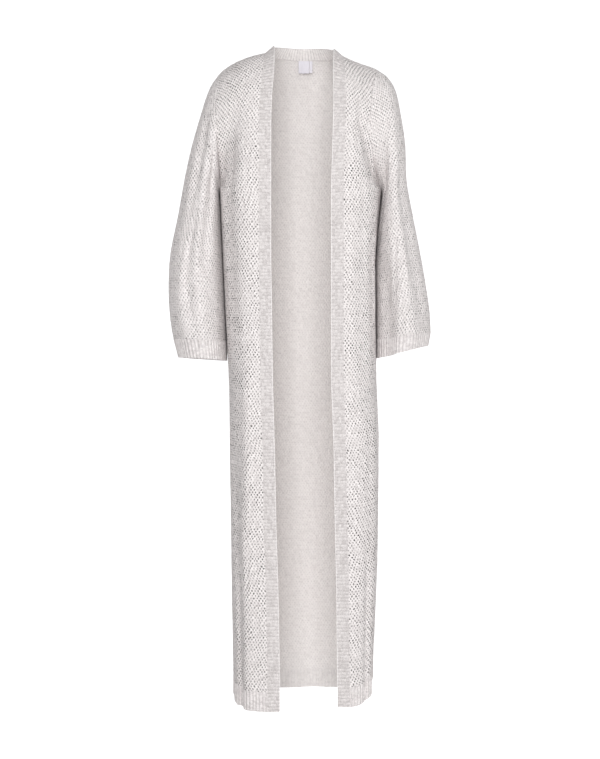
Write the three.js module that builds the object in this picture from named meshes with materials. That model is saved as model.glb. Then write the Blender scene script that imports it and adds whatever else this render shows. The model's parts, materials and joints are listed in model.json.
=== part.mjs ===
// A long open-front knitted cardigan with wide sleeves, held in the shape that it has when worn.
// Units are millimetres. +X is the wearer's left, +Y the wearer's back, +Z is up.
// The origin lies between the shoulders, at the top of the back neck.
import * as THREE from 'three';

// Cloth and seams
const WALL = 3;
const SEAM_GAP = 0.3;
// The neck band and the sleeves turn sharp corners at their seams, so they stand a little further off them.
const CORNER_GAP = 0.5;
const RIB_HEIGHT = 1.2;
const RIB_PITCH = 6.7;
const BAND_WIDTH = 25;
const HEM_HEIGHT = 40;

// Levels of the body, below the origin
const UNDERARM = -290;
const HEM_SEAM = -1300;
const HEM_BOTTOM = HEM_SEAM - HEM_HEIGHT;
const HALF_DEPTH = 110;

// How finely each piece is divided
const LOWER_ROWS = 24;
const UPPER_ROWS = 12;
const SIDE_COLUMNS = 8;
const CENTRE_COLUMNS = 8;
const SLEEVE_ROWS = 18;
const RING = 2 * UPPER_ROWS;

// One entry for each side of the body. The wearer's right has sign -1 and the wearer's left +1.
// neck is where the shoulder seam meets the neck, tip where it meets the armhole.
// bulge moves the middle of the armhole outwards. tuck draws its lower front back into a crease.
// corner says how square a body section is on the front and on the back.
// shoulderStart and shoulderEnd are the steepness of the shoulder seam at its two ends, against its mean.
const RIGHT = {
  name: 'right',
  sign: -1,
  neck: { x: 80, y: 14, z: -7 },
  tip: { x: 172, y: 2, z: -49 },
  bulge: 6,
  tuck: 18,
  corner: { front: 0.85, back: 0.7 },
  shoulderStart: 0.4,
  shoulderEnd: 2.2,
  hem: { front: -5, side: 4, back: 0 },
  // side is the half width at the side seam, opening the distance of the band's free edge from the middle
  sections: [
    { z: -1345, side: 141, opening: 48 },
    { z: -1240, side: 143, opening: 49 },
    { z: -1100, side: 146, opening: 51.5 },
    { z: -980, side: 148, opening: 55.5 },
    { z: -820, side: 151, opening: 58.5 },
    { z: -700, side: 152.5, opening: 62 },
    { z: -610, side: 156.5, opening: 63.5 },
    { z: -530, side: 160.5, opening: 64.5 },
    { z: -430, side: 165, opening: 66 },
    { z: UNDERARM, side: 171.5, opening: 66 },
    { z: -100, side: 172, opening: 66 },
    { z: 0, side: 172, opening: 60 },
  ],
};

const LEFT = {
  name: 'left',
  sign: 1,
  neck: { x: 80, y: 14, z: -13 },
  tip: { x: 150, y: 2, z: -41 },
  bulge: -20,
  tuck: 8,
  corner: { front: 0.86, back: 0.62 },
  shoulderStart: 1.4,
  shoulderEnd: 1,
  hem: { front: 5, side: 42, back: 2 },
  sections: [
    { z: -1345, side: 138, opening: 67 },
    { z: -1240, side: 143, opening: 65.5 },
    { z: -1100, side: 149, opening: 64.5 },
    { z: -980, side: 151, opening: 61.5 },
    { z: -820, side: 152.5, opening: 59 },
    { z: -700, side: 147.5, opening: 54.5 },
    { z: -630, side: 146.5, opening: 54 },
    { z: -560, side: 145.5, opening: 54 },
    { z: -440, side: 145, opening: 54 },
    { z: -382, side: 149, opening: 54 },
    { z: UNDERARM, side: 157, opening: 54 },
    { z: -100, side: 148, opening: 60 },
    { z: 0, side: 150, opening: 61 },
  ],
};
const SIDES = [RIGHT, LEFT];

// The line down the middle of the back, and where it meets the neck band. flat keeps it back until near the top.
const CENTRE_BACK = { y: 113, neckY: 60, neckZ: -8, flat: 4 };

// The crease of an armhole, in degrees round its ring
const TUCK = { angle: 130, width: 50 };

// How full the chest and shoulder blades are below the shoulder seam: 1 is round, less is fuller
const CHEST_FULLNESS = 0.7;
// Where the neck column of the front starts to turn out to the neck, as a place from underarm to shoulder
const COLUMN_TURNS_AT = 0.286;
// A row turns from square to the side seam into the shoulder's own line early on its way up
const SHOULDER_TURN = 0.45;
// Handles of the cubic rows, as shares of their reach: a straight run and a rounded corner
const STRAIGHT_HANDLE = 0.33;
const ROUND_HANDLE = 0.55;

// Where a band starts to stand up, as a body row, and its direction once it stands at the shoulder seam.
// At the middle of the back neck it leans forward by lean for each unit of rise.
const BAND_TURNS_AT = 1.35;
const BAND_STANDING = { x: 0.72, y: -0.12, z: 0.62 };
const NECK_BAND_LEAN = 0.55;

// A point inside the body at every level up to top, to tell the cloth's outer face from its inner one
const BODY_AXIS = { y: 10, top: -150 };

// Sleeve sections from the armhole to the cuff seam. Each is a ring from an outer point to an inner point,
// halfDepth to the front and to the back of the line between them.
const RIGHT_SLEEVE = [
  { outerX: 172, outerZ: -49, innerX: 171.5, innerZ: -290, halfDepth: 80 },
  { outerX: 185, outerZ: -66, innerX: 175, innerZ: -288, halfDepth: 80 },
  { outerX: 198, outerZ: -92, innerX: 177, innerZ: -300, halfDepth: 80 },
  { outerX: 213, outerZ: -140, innerX: 175.5, innerZ: -318, halfDepth: 81 },
  { outerX: 229, outerZ: -195, innerX: 174, innerZ: -340, halfDepth: 83 },
  { outerX: 244, outerZ: -262, innerX: 172.5, innerZ: -370, halfDepth: 86 },
  { outerX: 258, outerZ: -340, innerX: 170.5, innerZ: -412, halfDepth: 90 },
  { outerX: 274, outerZ: -420, innerX: 168.5, innerZ: -462, halfDepth: 94 },
  { outerX: 278, outerZ: -490, innerX: 166, innerZ: -515, halfDepth: 97 },
  { outerX: 275, outerZ: -550, innerX: 163.7, innerZ: -562, halfDepth: 98 },
  { outerX: 268, outerZ: -596, innerX: 162, innerZ: -602, halfDepth: 97 },
];
const RIGHT_CUFF = { outerX: 258, outerZ: -634, innerX: 161, innerZ: -641, halfDepth: 95 };

const LEFT_SLEEVE = [
  { outerX: 150, outerZ: -41, innerX: 157, innerZ: -290, halfDepth: 80 },
  { outerX: 172, outerZ: -58, innerX: 160, innerZ: -288, halfDepth: 80 },
  { outerX: 188, outerZ: -86, innerX: 162.5, innerZ: -300, halfDepth: 80 },
  { outerX: 199, outerZ: -139, innerX: 161, innerZ: -318, halfDepth: 81 },
  { outerX: 207, outerZ: -195, innerX: 158.5, innerZ: -340, halfDepth: 83 },
  { outerX: 210, outerZ: -268, innerX: 155, innerZ: -370, halfDepth: 86 },
  { outerX: 222, outerZ: -338, innerX: 151.8, innerZ: -410, halfDepth: 90 },
  { outerX: 236, outerZ: -408, innerX: 150, innerZ: -455, halfDepth: 93 },
  { outerX: 248, outerZ: -475, innerX: 150, innerZ: -505, halfDepth: 95 },
  { outerX: 257, outerZ: -535, innerX: 150.3, innerZ: -552, halfDepth: 96 },
  { outerX: 260, outerZ: -582, innerX: 151, innerZ: -597, halfDepth: 95 },
];
const LEFT_CUFF = { outerX: 255, outerZ: -610, innerX: 152, innerZ: -636, halfDepth: 93 };

// Folds of the body panels. at is the place across the panel, from 0 at the neck column to 1 at the side seam,
// drift how far it moves towards the side on its way down, width its half width in the same measure,
// depth in millimetres, negative for a trough.
const BODY_FOLDS = [
  { side: RIGHT, face: 'front', at: 0.5, drift: -0.08, top: -180, bottom: -640, width: 0.24, depth: -6 },
  { side: RIGHT, face: 'front', at: 0.18, drift: 0.1, top: -560, bottom: -1345, width: 0.16, depth: 4 },
  { side: RIGHT, face: 'front', at: 0.52, drift: -0.05, top: -760, bottom: -1345, width: 0.22, depth: -7 },
  { side: LEFT, face: 'front', at: 0.24, drift: 0.06, top: -240, bottom: -760, width: 0.2, depth: -4 },
  { side: LEFT, face: 'front', at: 0.5, drift: -0.04, top: -680, bottom: -1345, width: 0.16, depth: 5 },
  { side: LEFT, face: 'front', at: 0.78, drift: 0, top: -760, bottom: -1345, width: 0.2, depth: -5 },
  { side: RIGHT, face: 'back', at: 0.3, drift: 0.16, top: -260, bottom: -1345, width: 0.2, depth: -9 },
  { side: RIGHT, face: 'back', at: 0.76, drift: 0, top: -200, bottom: -700, width: 0.17, depth: 10 },
  { side: RIGHT, face: 'back', at: 0.72, drift: 0.06, top: -640, bottom: -1345, width: 0.2, depth: 7 },
  { side: LEFT, face: 'back', at: 0.42, drift: 0.14, top: -330, bottom: -1345, width: 0.22, depth: -8 },
  { side: LEFT, face: 'back', at: 0.76, drift: 0, top: -190, bottom: -720, width: 0.18, depth: 10.5 },
  { side: LEFT, face: 'back', at: 0.76, drift: 0, top: -700, bottom: -1345, width: 0.18, depth: 7 },
];

// Folds of the middle of the back. at is the place from the right neck column, 0, to the left one, 1.
const CENTRE_FOLDS = [
  { at: 0.4, drift: 0.05, top: -180, bottom: -900, width: 0.3, depth: -6 },
  { at: 0.7, drift: -0.08, top: -640, bottom: -1345, width: 0.26, depth: 7 },
];

// Folds of the sleeves. angle is in degrees round the ring: 0 outer, 90 front, 180 inner, 270 back.
// from and to are places along the sleeve, 0 at the armhole and 1 at the cuff seam.
const SLEEVE_FOLDS = [
  { side: RIGHT, angle: 62, turn: 22, from: 0.1, to: 1.1, width: 24, depth: -8 },
  { side: RIGHT, angle: 118, turn: -8, from: 0.2, to: 0.8, width: 20, depth: -6 },
  { side: RIGHT, angle: 250, turn: 18, from: 0.12, to: 1, width: 26, depth: -9 },
  { side: LEFT, angle: 128, turn: 34, from: 0.06, to: 0.62, width: 17, depth: -12 },
  { side: LEFT, angle: 66, turn: -14, from: 0.3, to: 1.1, width: 24, depth: -6 },
  { side: LEFT, angle: 132, turn: 0, from: 0.62, to: 1.3, width: 30, depth: -10 },
  { side: LEFT, angle: 262, turn: -20, from: 0.15, to: 0.95, width: 26, depth: -8 },
];

// The two blank labels hang inside the middle of the back. from is how far below the neck seam each one starts.
// lean moves its lower edge back, towards the cloth behind it.
const LABELS = [
  { name: 'neck_label', x: -11.5, width: 23, height: 25, from: 0.5, clear: 0.35, lean: 4 },
  { name: 'size_tab', x: 12.2, width: 6, height: 24, from: 1, clear: 0.35, lean: 4 },
];
const LABEL_THICKNESS = 0.5;

const KNIT = { color: 0xded8d4, roughness: 0.95, metalness: 0 };
const RIB = { color: 0xdad4d0, roughness: 0.95, metalness: 0 };
const LABEL = { color: 0xe8e6ea, roughness: 0.7, metalness: 0 };

const mix = (a, b, t) => a + (b - a) * t;
const clamp01 = (t) => Math.min(1, Math.max(0, t));
const smooth = (t) => clamp01(t) ** 2 * (3 - 2 * clamp01(t));
const hump = (across) => (Math.abs(across) < 1 ? Math.cos((across * Math.PI) / 2) ** 2 : 0);
const vector = (x, y, z) => new THREE.Vector3(x, y, z);

// Reads one column of a table of rows at a place between rows, on a smooth curve through them.
function curveThrough(values, place) {
  const last = values.length - 1;
  const index = Math.min(last - 1, Math.max(0, Math.floor(place)));
  const t = place - index;
  const [a, b] = [values[index], values[index + 1]];
  const before = values[Math.max(0, index - 1)];
  const after = values[Math.min(last, index + 2)];
  const slopeA = index > 0 ? (b - before) / 2 : b - a;
  const slopeB = index < last - 1 ? (after - a) / 2 : b - a;
  const [t2, t3] = [t * t, t * t * t];
  return a * (2 * t3 - 3 * t2 + 1) + slopeA * (t3 - 2 * t2 + t) + b * (3 * t2 - 2 * t3) + slopeB * (t3 - t2);
}

function sectionValue(side, column, z) {
  const rows = side.sections;
  let index = 0;
  while (index < rows.length - 2 && z > rows[index + 1].z) {
    index += 1;
  }
  const t = clamp01((z - rows[index].z) / (rows[index + 1].z - rows[index].z));
  return mix(rows[index][column], rows[index + 1][column], t);
}

// A fold fades in over the first quarter of its length and out over the last one.
// Body folds also fade out over an eighth of the panel's width beside its edges.
const FOLD_FADE = 4;
const EDGE_FADE = 8;

// Height of all folds of a list at one place
function foldHeight(folds, place, z) {
  let height = 0;
  for (const fold of folds) {
    const along = (fold.top - z) / (fold.top - fold.bottom);
    const across = (place - fold.at - fold.drift * clamp01(along)) / fold.width;
    const fade = smooth(along * FOLD_FADE) * (fold.bottom > HEM_BOTTOM ? smooth((1 - along) * FOLD_FADE) : 1);
    height += along > 0 ? fold.depth * fade * hump(across) : 0;
  }
  return height;
}

// The neck column is the line where the front meets its band, and the same line on the back.
// row runs from 0 at the hem seam to 1 at the underarm and 2 at the shoulder seam.
function neckColumn(side, face, row) {
  const forward = face === 'front' ? -1 : 1;
  const z = row <= 1 ? mix(HEM_SEAM, UNDERARM, row) : UNDERARM;
  const hemShift = (face === 'front' ? side.hem.front : side.hem.back) * (1 - clamp01(row));
  if (row <= 1) {
    const x = face === 'front' ? sectionValue(side, 'opening', z) + BAND_WIDTH : side.neck.x;
    return vector(side.sign * x, forward * HALF_DEPTH, z + hemShift);
  }
  const arch = ((row - 1) * Math.PI) / 2;
  const y = side.neck.y + (forward * HALF_DEPTH - side.neck.y) * Math.cos(arch) ** CHEST_FULLNESS;
  const height = mix(UNDERARM, side.neck.z, Math.sin(arch));
  const open = sectionValue(side, 'opening', height) + BAND_WIDTH;
  const turned = smooth((row - 1 - COLUMN_TURNS_AT) / (1 - COLUMN_TURNS_AT));
  const x = face === 'front' ? mix(open, side.neck.x, turned) : side.neck.x;
  return vector(side.sign * x, y, height);
}

// The outer end of a body row: the side seam below the underarm and the armhole above it.
function outerEnd(side, face, row) {
  if (row <= 1) {
    const z = mix(HEM_SEAM, UNDERARM, row);
    return vector(side.sign * sectionValue(side, 'side', z), 0, z + side.hem.side * (1 - clamp01(row)));
  }
  return ringPoint(side, sleeveTable(side)[0], armholeAngle(face, row), 1);
}

const sleeveTable = (side) => (side === RIGHT ? RIGHT_SLEEVE : LEFT_SLEEVE);
const armholeAngle = (face, row) => (face === 'front' ? Math.PI * (2 - row) : Math.PI * row);

// One point of a sleeve ring. Angle 0 is the outer point, a quarter turn the front, half a turn the inner point.
// armhole says how much of the armhole's own bulge and tuck the ring has.
function ringPoint(side, section, angle, armhole = 0) {
  const outward = (1 + Math.cos(angle)) / 2;
  const x = mix(section.innerX, section.outerX, outward) + side.bulge * armhole * Math.sin(angle) ** 2;
  const y = side.tuck * armhole * hump((THREE.MathUtils.radToDeg(angle) - TUCK.angle) / TUCK.width);
  const z = mix(section.innerZ, section.outerZ, outward);
  return vector(side.sign * x, y - section.halfDepth * Math.sin(angle), z);
}

// A body row is one cubic curve from the neck column to its outer end. It leaves the column sideways.
// It reaches the side seam square to it, and turns into the shoulder's own line further up.
function bodyPoint(side, face, row, place) {
  const forward = face === 'front' ? -1 : 1;
  const start = neckColumn(side, face, row);
  const end = outerEnd(side, face, row);
  const raised = clamp01(row - 1);
  const fall = (side.neck.z - side.tip.z) / (side.tip.x - side.neck.x);
  const leave = vector(side.sign, 0, -fall * side.shoulderStart * raised).normalize();
  const shoulderEnd = vector(side.sign, 0, -fall * side.shoulderEnd);
  const arrive = vector(0, -forward, 0).lerp(shoulderEnd, raised ** SHOULDER_TURN).normalize();
  const reach = Math.abs(end.x - start.x);
  const startReach = reach * mix(side.corner[face], STRAIGHT_HANDLE, raised);
  const endReach = mix(HALF_DEPTH * ROUND_HANDLE, reach * STRAIGHT_HANDLE, Math.sqrt(raised));
  const startHandle = start.clone().addScaledVector(leave, startReach);
  const endHandle = end.clone().addScaledVector(arrive, -endReach);
  const point = new THREE.CubicBezierCurve3(start, startHandle, endHandle, end).getPoint(place);
  const outward = vector(side.sign * place, forward * (1.05 - place), 0).normalize();
  const folds = BODY_FOLDS.filter((fold) => fold.side === side && fold.face === face);
  const edges = smooth(place * EDGE_FADE) * smooth((1 - place) * EDGE_FADE);
  return point.addScaledVector(outward, foldHeight(folds, place, point.z) * edges);
}

// The middle of the back, from the right neck column to the left one. Its top is the back neck seam.
function centrePoint(row, place) {
  const right = neckColumn(RIGHT, 'back', row);
  const left = neckColumn(LEFT, 'back', row);
  const point = right.lerp(left, place);
  const across = Math.sin(place * Math.PI);
  const raised = clamp01(row - 1);
  const spineY = mix(CENTRE_BACK.y, CENTRE_BACK.neckY, raised ** CENTRE_BACK.flat);
  const spineZ = row <= 1 ? point.z : mix(UNDERARM, CENTRE_BACK.neckZ, raised);
  point.y = mix(point.y, spineY, across);
  point.z = mix(point.z, spineZ, across);
  point.y += foldHeight(CENTRE_FOLDS, place, point.z) * across;
  return point;
}

function sleevePoint(side, along, angle) {
  const table = sleeveTable(side);
  const place = along * (table.length - 1);
  const section = {};
  for (const column of Object.keys(table[0])) {
    section[column] = curveThrough(table.map((row) => row[column]), place);
  }
  const point = ringPoint(side, section, angle, 1 - clamp01(place));
  return point.addScaledVector(ringOutward(side, angle), sleeveFolds(side, along, angle));
}

const ringOutward = (side, angle) => vector(side.sign * Math.cos(angle), -Math.sin(angle), 0);

function sleeveFolds(side, along, angle) {
  const degrees = THREE.MathUtils.radToDeg(angle);
  let height = 0;
  for (const fold of SLEEVE_FOLDS.filter((entry) => entry.side === side)) {
    const t = (along - fold.from) / (fold.to - fold.from);
    const across = (degrees - fold.angle - fold.turn * clamp01(t)) / fold.width;
    const fade = smooth(t * FOLD_FADE) * smooth((1 - t) * FOLD_FADE);
    height += fold.depth * fade * hump(across);
  }
  return height;
}

function cuffPoint(side, angle) {
  const section = side === RIGHT ? RIGHT_CUFF : LEFT_CUFF;
  return ringPoint(side, section, angle).addScaledVector(ringOutward(side, angle), sleeveFolds(side, 1, angle));
}

// Which way a band runs from its seam to its free edge: inwards on the chest, up at the back of the neck.
function bandDirection(side, face, row) {
  const raised = smooth((row - BAND_TURNS_AT) / (2 - BAND_TURNS_AT));
  const flat = vector(-side.sign, 0, 0);
  const standing = vector(-side.sign * BAND_STANDING.x, BAND_STANDING.y, BAND_STANDING.z);
  return flat.lerp(standing, raised).normalize();
}

// Rows of the body, as places from 0 to 2, and of one hem below them
const lowerRows = Array.from({ length: LOWER_ROWS + 1 }, (_, i) => i / LOWER_ROWS);
const upperRows = Array.from({ length: UPPER_ROWS }, (_, i) => 1 + (i + 1) / UPPER_ROWS);
const bodyRows = [...lowerRows, ...upperRows];
const spread = (count) => Array.from({ length: count + 1 }, (_, i) => i / count);

function grid(rows, columns, at) {
  return rows.map((row) => columns.map((column) => at(row, column)));
}

function dropped(row, distance) {
  return row.map((point) => point.clone().add(vector(0, 0, -distance)));
}

// Every piece before it gets its wall: its grid of points, whether it is a ring, which edges are seams,
// and whether it is ribbed along its rows.
const pieces = [];

function addPiece(name, points, options) {
  pieces.push({ name, points, ring: false, ribbed: false, gap: SEAM_GAP, ...options });
}

function addBody() {
  for (const side of SIDES) {
    const panel = grid(bodyRows, spread(SIDE_COLUMNS), (row, place) => bodyPoint(side, 'front', row, place));
    const seams = { bottom: true, top: true, start: true, end: true };
    addPiece(`${side.name}_front`, panel, { seams, color: KNIT });
    const hem = [dropped(panel[0], HEM_HEIGHT), panel[0]];
    addPiece(`${side.name}_front_hem`, hem, { ribbed: true, seams: { ...seams, bottom: false }, color: RIB });
    addBand(side, [hem[0][0], ...panel.map((row) => row[0])]);
  }
  const right = (row) => spread(SIDE_COLUMNS).map((place) => bodyPoint(RIGHT, 'back', row, 1 - place));
  const middle = (row) => spread(CENTRE_COLUMNS).map((place) => centrePoint(row, place));
  const left = (row) => spread(SIDE_COLUMNS).map((place) => bodyPoint(LEFT, 'back', row, place));
  const back = bodyRows.map((row) => [...right(row), ...middle(row).slice(1, -1), ...left(row)]);
  const seams = { bottom: true, top: true, start: true, end: true };
  addPiece('back', back, { seams, color: KNIT });
  const hem = [dropped(back[0], HEM_HEIGHT), back[0]];
  addPiece('back_hem', hem, { ribbed: true, seams: { ...seams, bottom: false }, color: RIB });
  const neckSeam = back[back.length - 1].slice(SIDE_COLUMNS, SIDE_COLUMNS + CENTRE_COLUMNS + 1);
  addNeckBand(neckSeam);
}

function addBand(side, seam) {
  const rowOf = [0, ...bodyRows];
  const free = seam.map((point, i) => {
    return point.clone().addScaledVector(bandDirection(side, 'front', rowOf[i]), BAND_WIDTH);
  });
  const seams = { bottom: true, top: false, start: false, end: true };
  addPiece(`${side.name}_front_band`, [seam, free], { ribbed: true, seams, color: RIB });
}

function addNeckBand(seam) {
  const free = seam.map((point, i) => {
    const place = i / (seam.length - 1);
    const atRight = bandDirection(RIGHT, 'front', 2);
    const atLeft = bandDirection(LEFT, 'front', 2);
    const ends = atRight.lerp(atLeft, place);
    const middle = Math.sin(place * Math.PI);
    const direction = ends.lerp(vector(ends.x, -NECK_BAND_LEAN, 1), middle).normalize();
    return point.clone().addScaledVector(direction, BAND_WIDTH);
  });
  const seams = { bottom: true, top: false, start: true, end: true };
  addPiece('neck_band', [seam, free], { ribbed: true, seams, color: RIB, gap: CORNER_GAP });
}

function addSleeves() {
  const angles = Array.from({ length: RING }, (_, i) => (i * 2 * Math.PI) / RING);
  for (const side of SIDES) {
    const panel = grid(spread(SLEEVE_ROWS), angles, (along, angle) => sleevePoint(side, along, angle));
    const seams = { bottom: true, top: true };
    addPiece(`${side.name}_sleeve`, panel, { ring: true, seams, color: KNIT, gap: CORNER_GAP });
    const cuff = [panel[SLEEVE_ROWS], angles.map((angle) => cuffPoint(side, angle))];
    addPiece(`${side.name}_cuff`, cuff, { ring: true, ribbed: true, seams: { bottom: true }, color: RIB });
  }
}

// Pieces that meet share their edge points, so a normal summed over all faces at a point is the seam's own.
const keyOf = (point) => point.toArray().map((value) => Math.round(value * 100) + 0).join(' ');

function facesOf(piece) {
  const rows = piece.points.length;
  const columns = piece.points[0].length;
  const faces = [];
  for (let r = 0; r < rows - 1; r += 1) {
    for (let c = 0; c < (piece.ring ? columns : columns - 1); c += 1) {
      faces.push([r, c, r + 1, (c + 1) % columns]);
    }
  }
  return faces;
}

function weldNormals() {
  const sums = new Map();
  for (const piece of pieces) {
    let facingOut = 0;
    const local = new Map();
    for (const [r, c, r2, c2] of facesOf(piece)) {
      const corners = [piece.points[r][c], piece.points[r][c2], piece.points[r2][c2], piece.points[r2][c]];
      const normal = corners[2].clone().sub(corners[0]).cross(corners[3].clone().sub(corners[1]));
      const centre = corners.reduce((sum, point) => sum.add(point), vector(0, 0, 0)).divideScalar(4);
      const axis = piece.ring ? ringCentre(piece, r) : vector(0, BODY_AXIS.y, Math.min(centre.z, BODY_AXIS.top));
      facingOut += centre.sub(axis).dot(normal) < 0 ? -1 : 1;
      for (const corner of corners) {
        const key = keyOf(corner);
        local.set(key, (local.get(key) ?? vector(0, 0, 0)).add(normal));
      }
    }
    const turn = facingOut < 0 ? -1 : 1;
    for (const [key, normal] of local) {
      sums.set(key, (sums.get(key) ?? vector(0, 0, 0)).addScaledVector(normal, turn / normal.length()));
    }
  }
  for (const piece of pieces) {
    piece.normals = piece.points.map((row) => row.map((point) => sums.get(keyOf(point)).clone().normalize()));
  }
}

function ringCentre(piece, r) {
  const points = [...piece.points[r], ...piece.points[r + 1]];
  return points.reduce((sum, point) => sum.add(point), vector(0, 0, 0)).divideScalar(points.length);
}

// Moves a seam edge back by half the gap, square to the seam and within the cloth.
function trim(piece) {
  const rows = piece.points.length;
  const columns = piece.points[0].length;
  const moves = piece.points.map((row) => row.map(() => vector(0, 0, 0)));
  const step = (r, c, before, after, inside) => {
    const along = after.clone().sub(before);
    const inward = piece.normals[r][c].clone().cross(along).normalize();
    const towards = inside.clone().sub(piece.points[r][c]);
    moves[r][c].addScaledVector(inward, (inward.dot(towards) < 0 ? -piece.gap : piece.gap) / 2);
  };
  const at = (r, c) => {
    const column = piece.ring ? (c + columns) % columns : Math.min(columns - 1, Math.max(0, c));
    return piece.points[Math.min(rows - 1, Math.max(0, r))][column];
  };
  for (let c = 0; c < columns; c += 1) {
    if (piece.seams.bottom) {
      step(0, c, at(0, c - 1), at(0, c + 1), at(1, c));
    }
    if (piece.seams.top) {
      step(rows - 1, c, at(rows - 1, c - 1), at(rows - 1, c + 1), at(rows - 2, c));
    }
  }
  for (let r = 0; r < rows; r += 1) {
    if (piece.seams.start) {
      step(r, 0, at(r - 1, 0), at(r + 1, 0), at(r, 1));
    }
    if (piece.seams.end) {
      step(r, columns - 1, at(r - 1, columns - 1), at(r + 1, columns - 1), at(r, columns - 2));
    }
  }
  return piece.points.map((row, r) => row.map((point, c) => point.clone().add(moves[r][c])));
}

// Outer and inner points of a wall. A ribbed piece has two outer points for each rib between its own columns.
function wallPoints(piece) {
  const trimmed = trim(piece);
  const columns = trimmed[0].length;
  const cells = piece.ring ? columns : columns - 1;
  const stations = [];
  const fine = [];
  for (let c = 0; c < cells; c += 1) {
    const next = (c + 1) % columns;
    const length = trimmed[0][c].distanceTo(trimmed[0][next]);
    const steps = piece.ribbed ? 2 * Math.max(1, Math.round(length / RIB_PITCH)) : 1;
    stations.push(fine.length);
    for (let i = 0; i < steps; i += 1) {
      fine.push({ c, next, t: i / steps, lift: (i % 2) * RIB_HEIGHT });
    }
  }
  if (!piece.ring) {
    stations.push(fine.length);
    fine.push({ c: columns - 1, next: columns - 1, t: 0, lift: 0 });
  }
  const outer = trimmed.map((row, r) => fine.map(({ c, next, t, lift }) => {
    const normal = piece.normals[r][c].clone().lerp(piece.normals[r][next], t);
    return row[c].clone().lerp(row[next], t).addScaledVector(normal, WALL / 2 + lift);
  }));
  const inner = trimmed.map((row, r) => row.map((point, c) => {
    return point.clone().addScaledVector(piece.normals[r][c], -WALL / 2);
  }));
  return { outer, inner, stations, ring: piece.ring };
}

// Joins outer and inner points into one closed body. stations says which outer column each inner one lies under.
function closedWall({ outer, inner, stations, ring }) {
  const rows = outer.length;
  const fineCount = outer[0].length;
  const coarseCount = inner[0].length;
  const points = [...outer.flat(), ...inner.flat()];
  const offset = rows * fineCount;
  const out = (r, c) => r * fineCount + (c % fineCount);
  const inn = (r, c) => offset + r * coarseCount + (c % coarseCount);
  const triangles = [];
  const quad = (a, b, c, d) => triangles.push([a, b, c], [a, c, d]);
  for (let r = 0; r < rows - 1; r += 1) {
    for (let c = 0; c < (ring ? fineCount : fineCount - 1); c += 1) {
      quad(out(r, c), out(r, c + 1), out(r + 1, c + 1), out(r + 1, c));
    }
    for (let c = 0; c < (ring ? coarseCount : coarseCount - 1); c += 1) {
      quad(inn(r, c + 1), inn(r, c), inn(r + 1, c), inn(r + 1, c + 1));
    }
    if (!ring) {
      quad(out(r, 0), out(r + 1, 0), inn(r + 1, 0), inn(r, 0));
      quad(out(r + 1, fineCount - 1), out(r, fineCount - 1), inn(r, coarseCount - 1), inn(r + 1, coarseCount - 1));
    }
  }
  const edge = (r, turned) => {
    const put = (a, b, c) => triangles.push(turned ? [b, a, c] : [a, b, c]);
    for (let j = 0; j < (ring ? coarseCount : coarseCount - 1); j += 1) {
      const from = stations[j];
      const to = j + 1 < stations.length ? stations[j + 1] : fineCount;
      const middle = Math.floor((from + to) / 2);
      for (let i = from; i < to; i += 1) {
        put(out(r, i), out(r, i + 1), inn(r, i < middle ? j : j + 1));
      }
      put(out(r, middle), inn(r, j + 1), inn(r, j));
    }
  };
  edge(0, true);
  edge(rows - 1, false);
  return bodyGeometry(points, triangles);
}

// A geometry from points and triangles, turned so that its faces point out.
function bodyGeometry(points, triangles) {
  let volume = 0;
  for (const [a, b, c] of triangles) {
    volume += points[a].dot(points[b].clone().cross(points[c]));
  }
  const faces = volume < 0 ? triangles.map(([a, b, c]) => [a, c, b]) : triangles;
  const geometry = new THREE.BufferGeometry();
  geometry.setAttribute('position', new THREE.Float32BufferAttribute(points.flatMap((p) => [p.x, p.y, p.z]), 3));
  geometry.setIndex(faces.flat());
  geometry.computeVertexNormals();
  return geometry;
}

// A label is a small flat patch. Its upper edge follows the inside of the back just below the neck seam,
// and the rest hangs straight down from there.
function labelGeometry(label, back) {
  const seam = back.points[back.points.length - 1];
  const below = back.points[back.points.length - 2];
  const normals = back.normals[back.points.length - 1];
  const upperEdge = (x) => {
    const c = seam.findIndex((point, i) => i > 0 && point.x >= x) - 1;
    const t = (x - seam[c].x) / (seam[c + 1].x - seam[c].x);
    const top = seam[c].clone().lerp(seam[c + 1], t);
    const down = below[c].clone().lerp(below[c + 1], t).sub(top).normalize();
    const normal = normals[c].clone().lerp(normals[c + 1], t).normalize();
    return top.addScaledVector(down, label.from).addScaledVector(normal, -WALL / 2 - label.clear);
  };
  const layer = (forward) => grid(spread(3), spread(2), (down, across) => {
    const edge = upperEdge(label.x + across * label.width);
    return edge.add(vector(0, down * label.lean - forward, -down * label.height));
  });
  return closedWall({ outer: layer(0), inner: layer(LABEL_THICKNESS), stations: [0, 1, 2], ring: false });
}

addBody();
addSleeves();
weldNormals();

const cardigan = new THREE.Group();
cardigan.name = 'cardigan';
for (const piece of pieces) {
  const mesh = new THREE.Mesh(closedWall(wallPoints(piece)), new THREE.MeshStandardMaterial(piece.color));
  mesh.name = piece.name;
  cardigan.add(mesh);
}
const backPiece = pieces.find((piece) => piece.name === 'back');
for (const label of LABELS) {
  const mesh = new THREE.Mesh(labelGeometry(label, backPiece), new THREE.MeshStandardMaterial(LABEL));
  mesh.name = label.name;
  cardigan.add(mesh);
}

export default cardigan;
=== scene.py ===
# %% [markdown]
# # A long open-front knitted cardigan
#
# The cardigan is built the way a maker knits and links it: three body panels, two sleeves, and ribbed bands,
# cuffs and hems. Each piece is a thin closed shell of cloth, and its stitches are real bumps in the mesh.
# The work goes from the shape of the cloth, to the grid of stitches on it, to the finishes and the light.

# %% Load the measured frame
import json
import math

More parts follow.
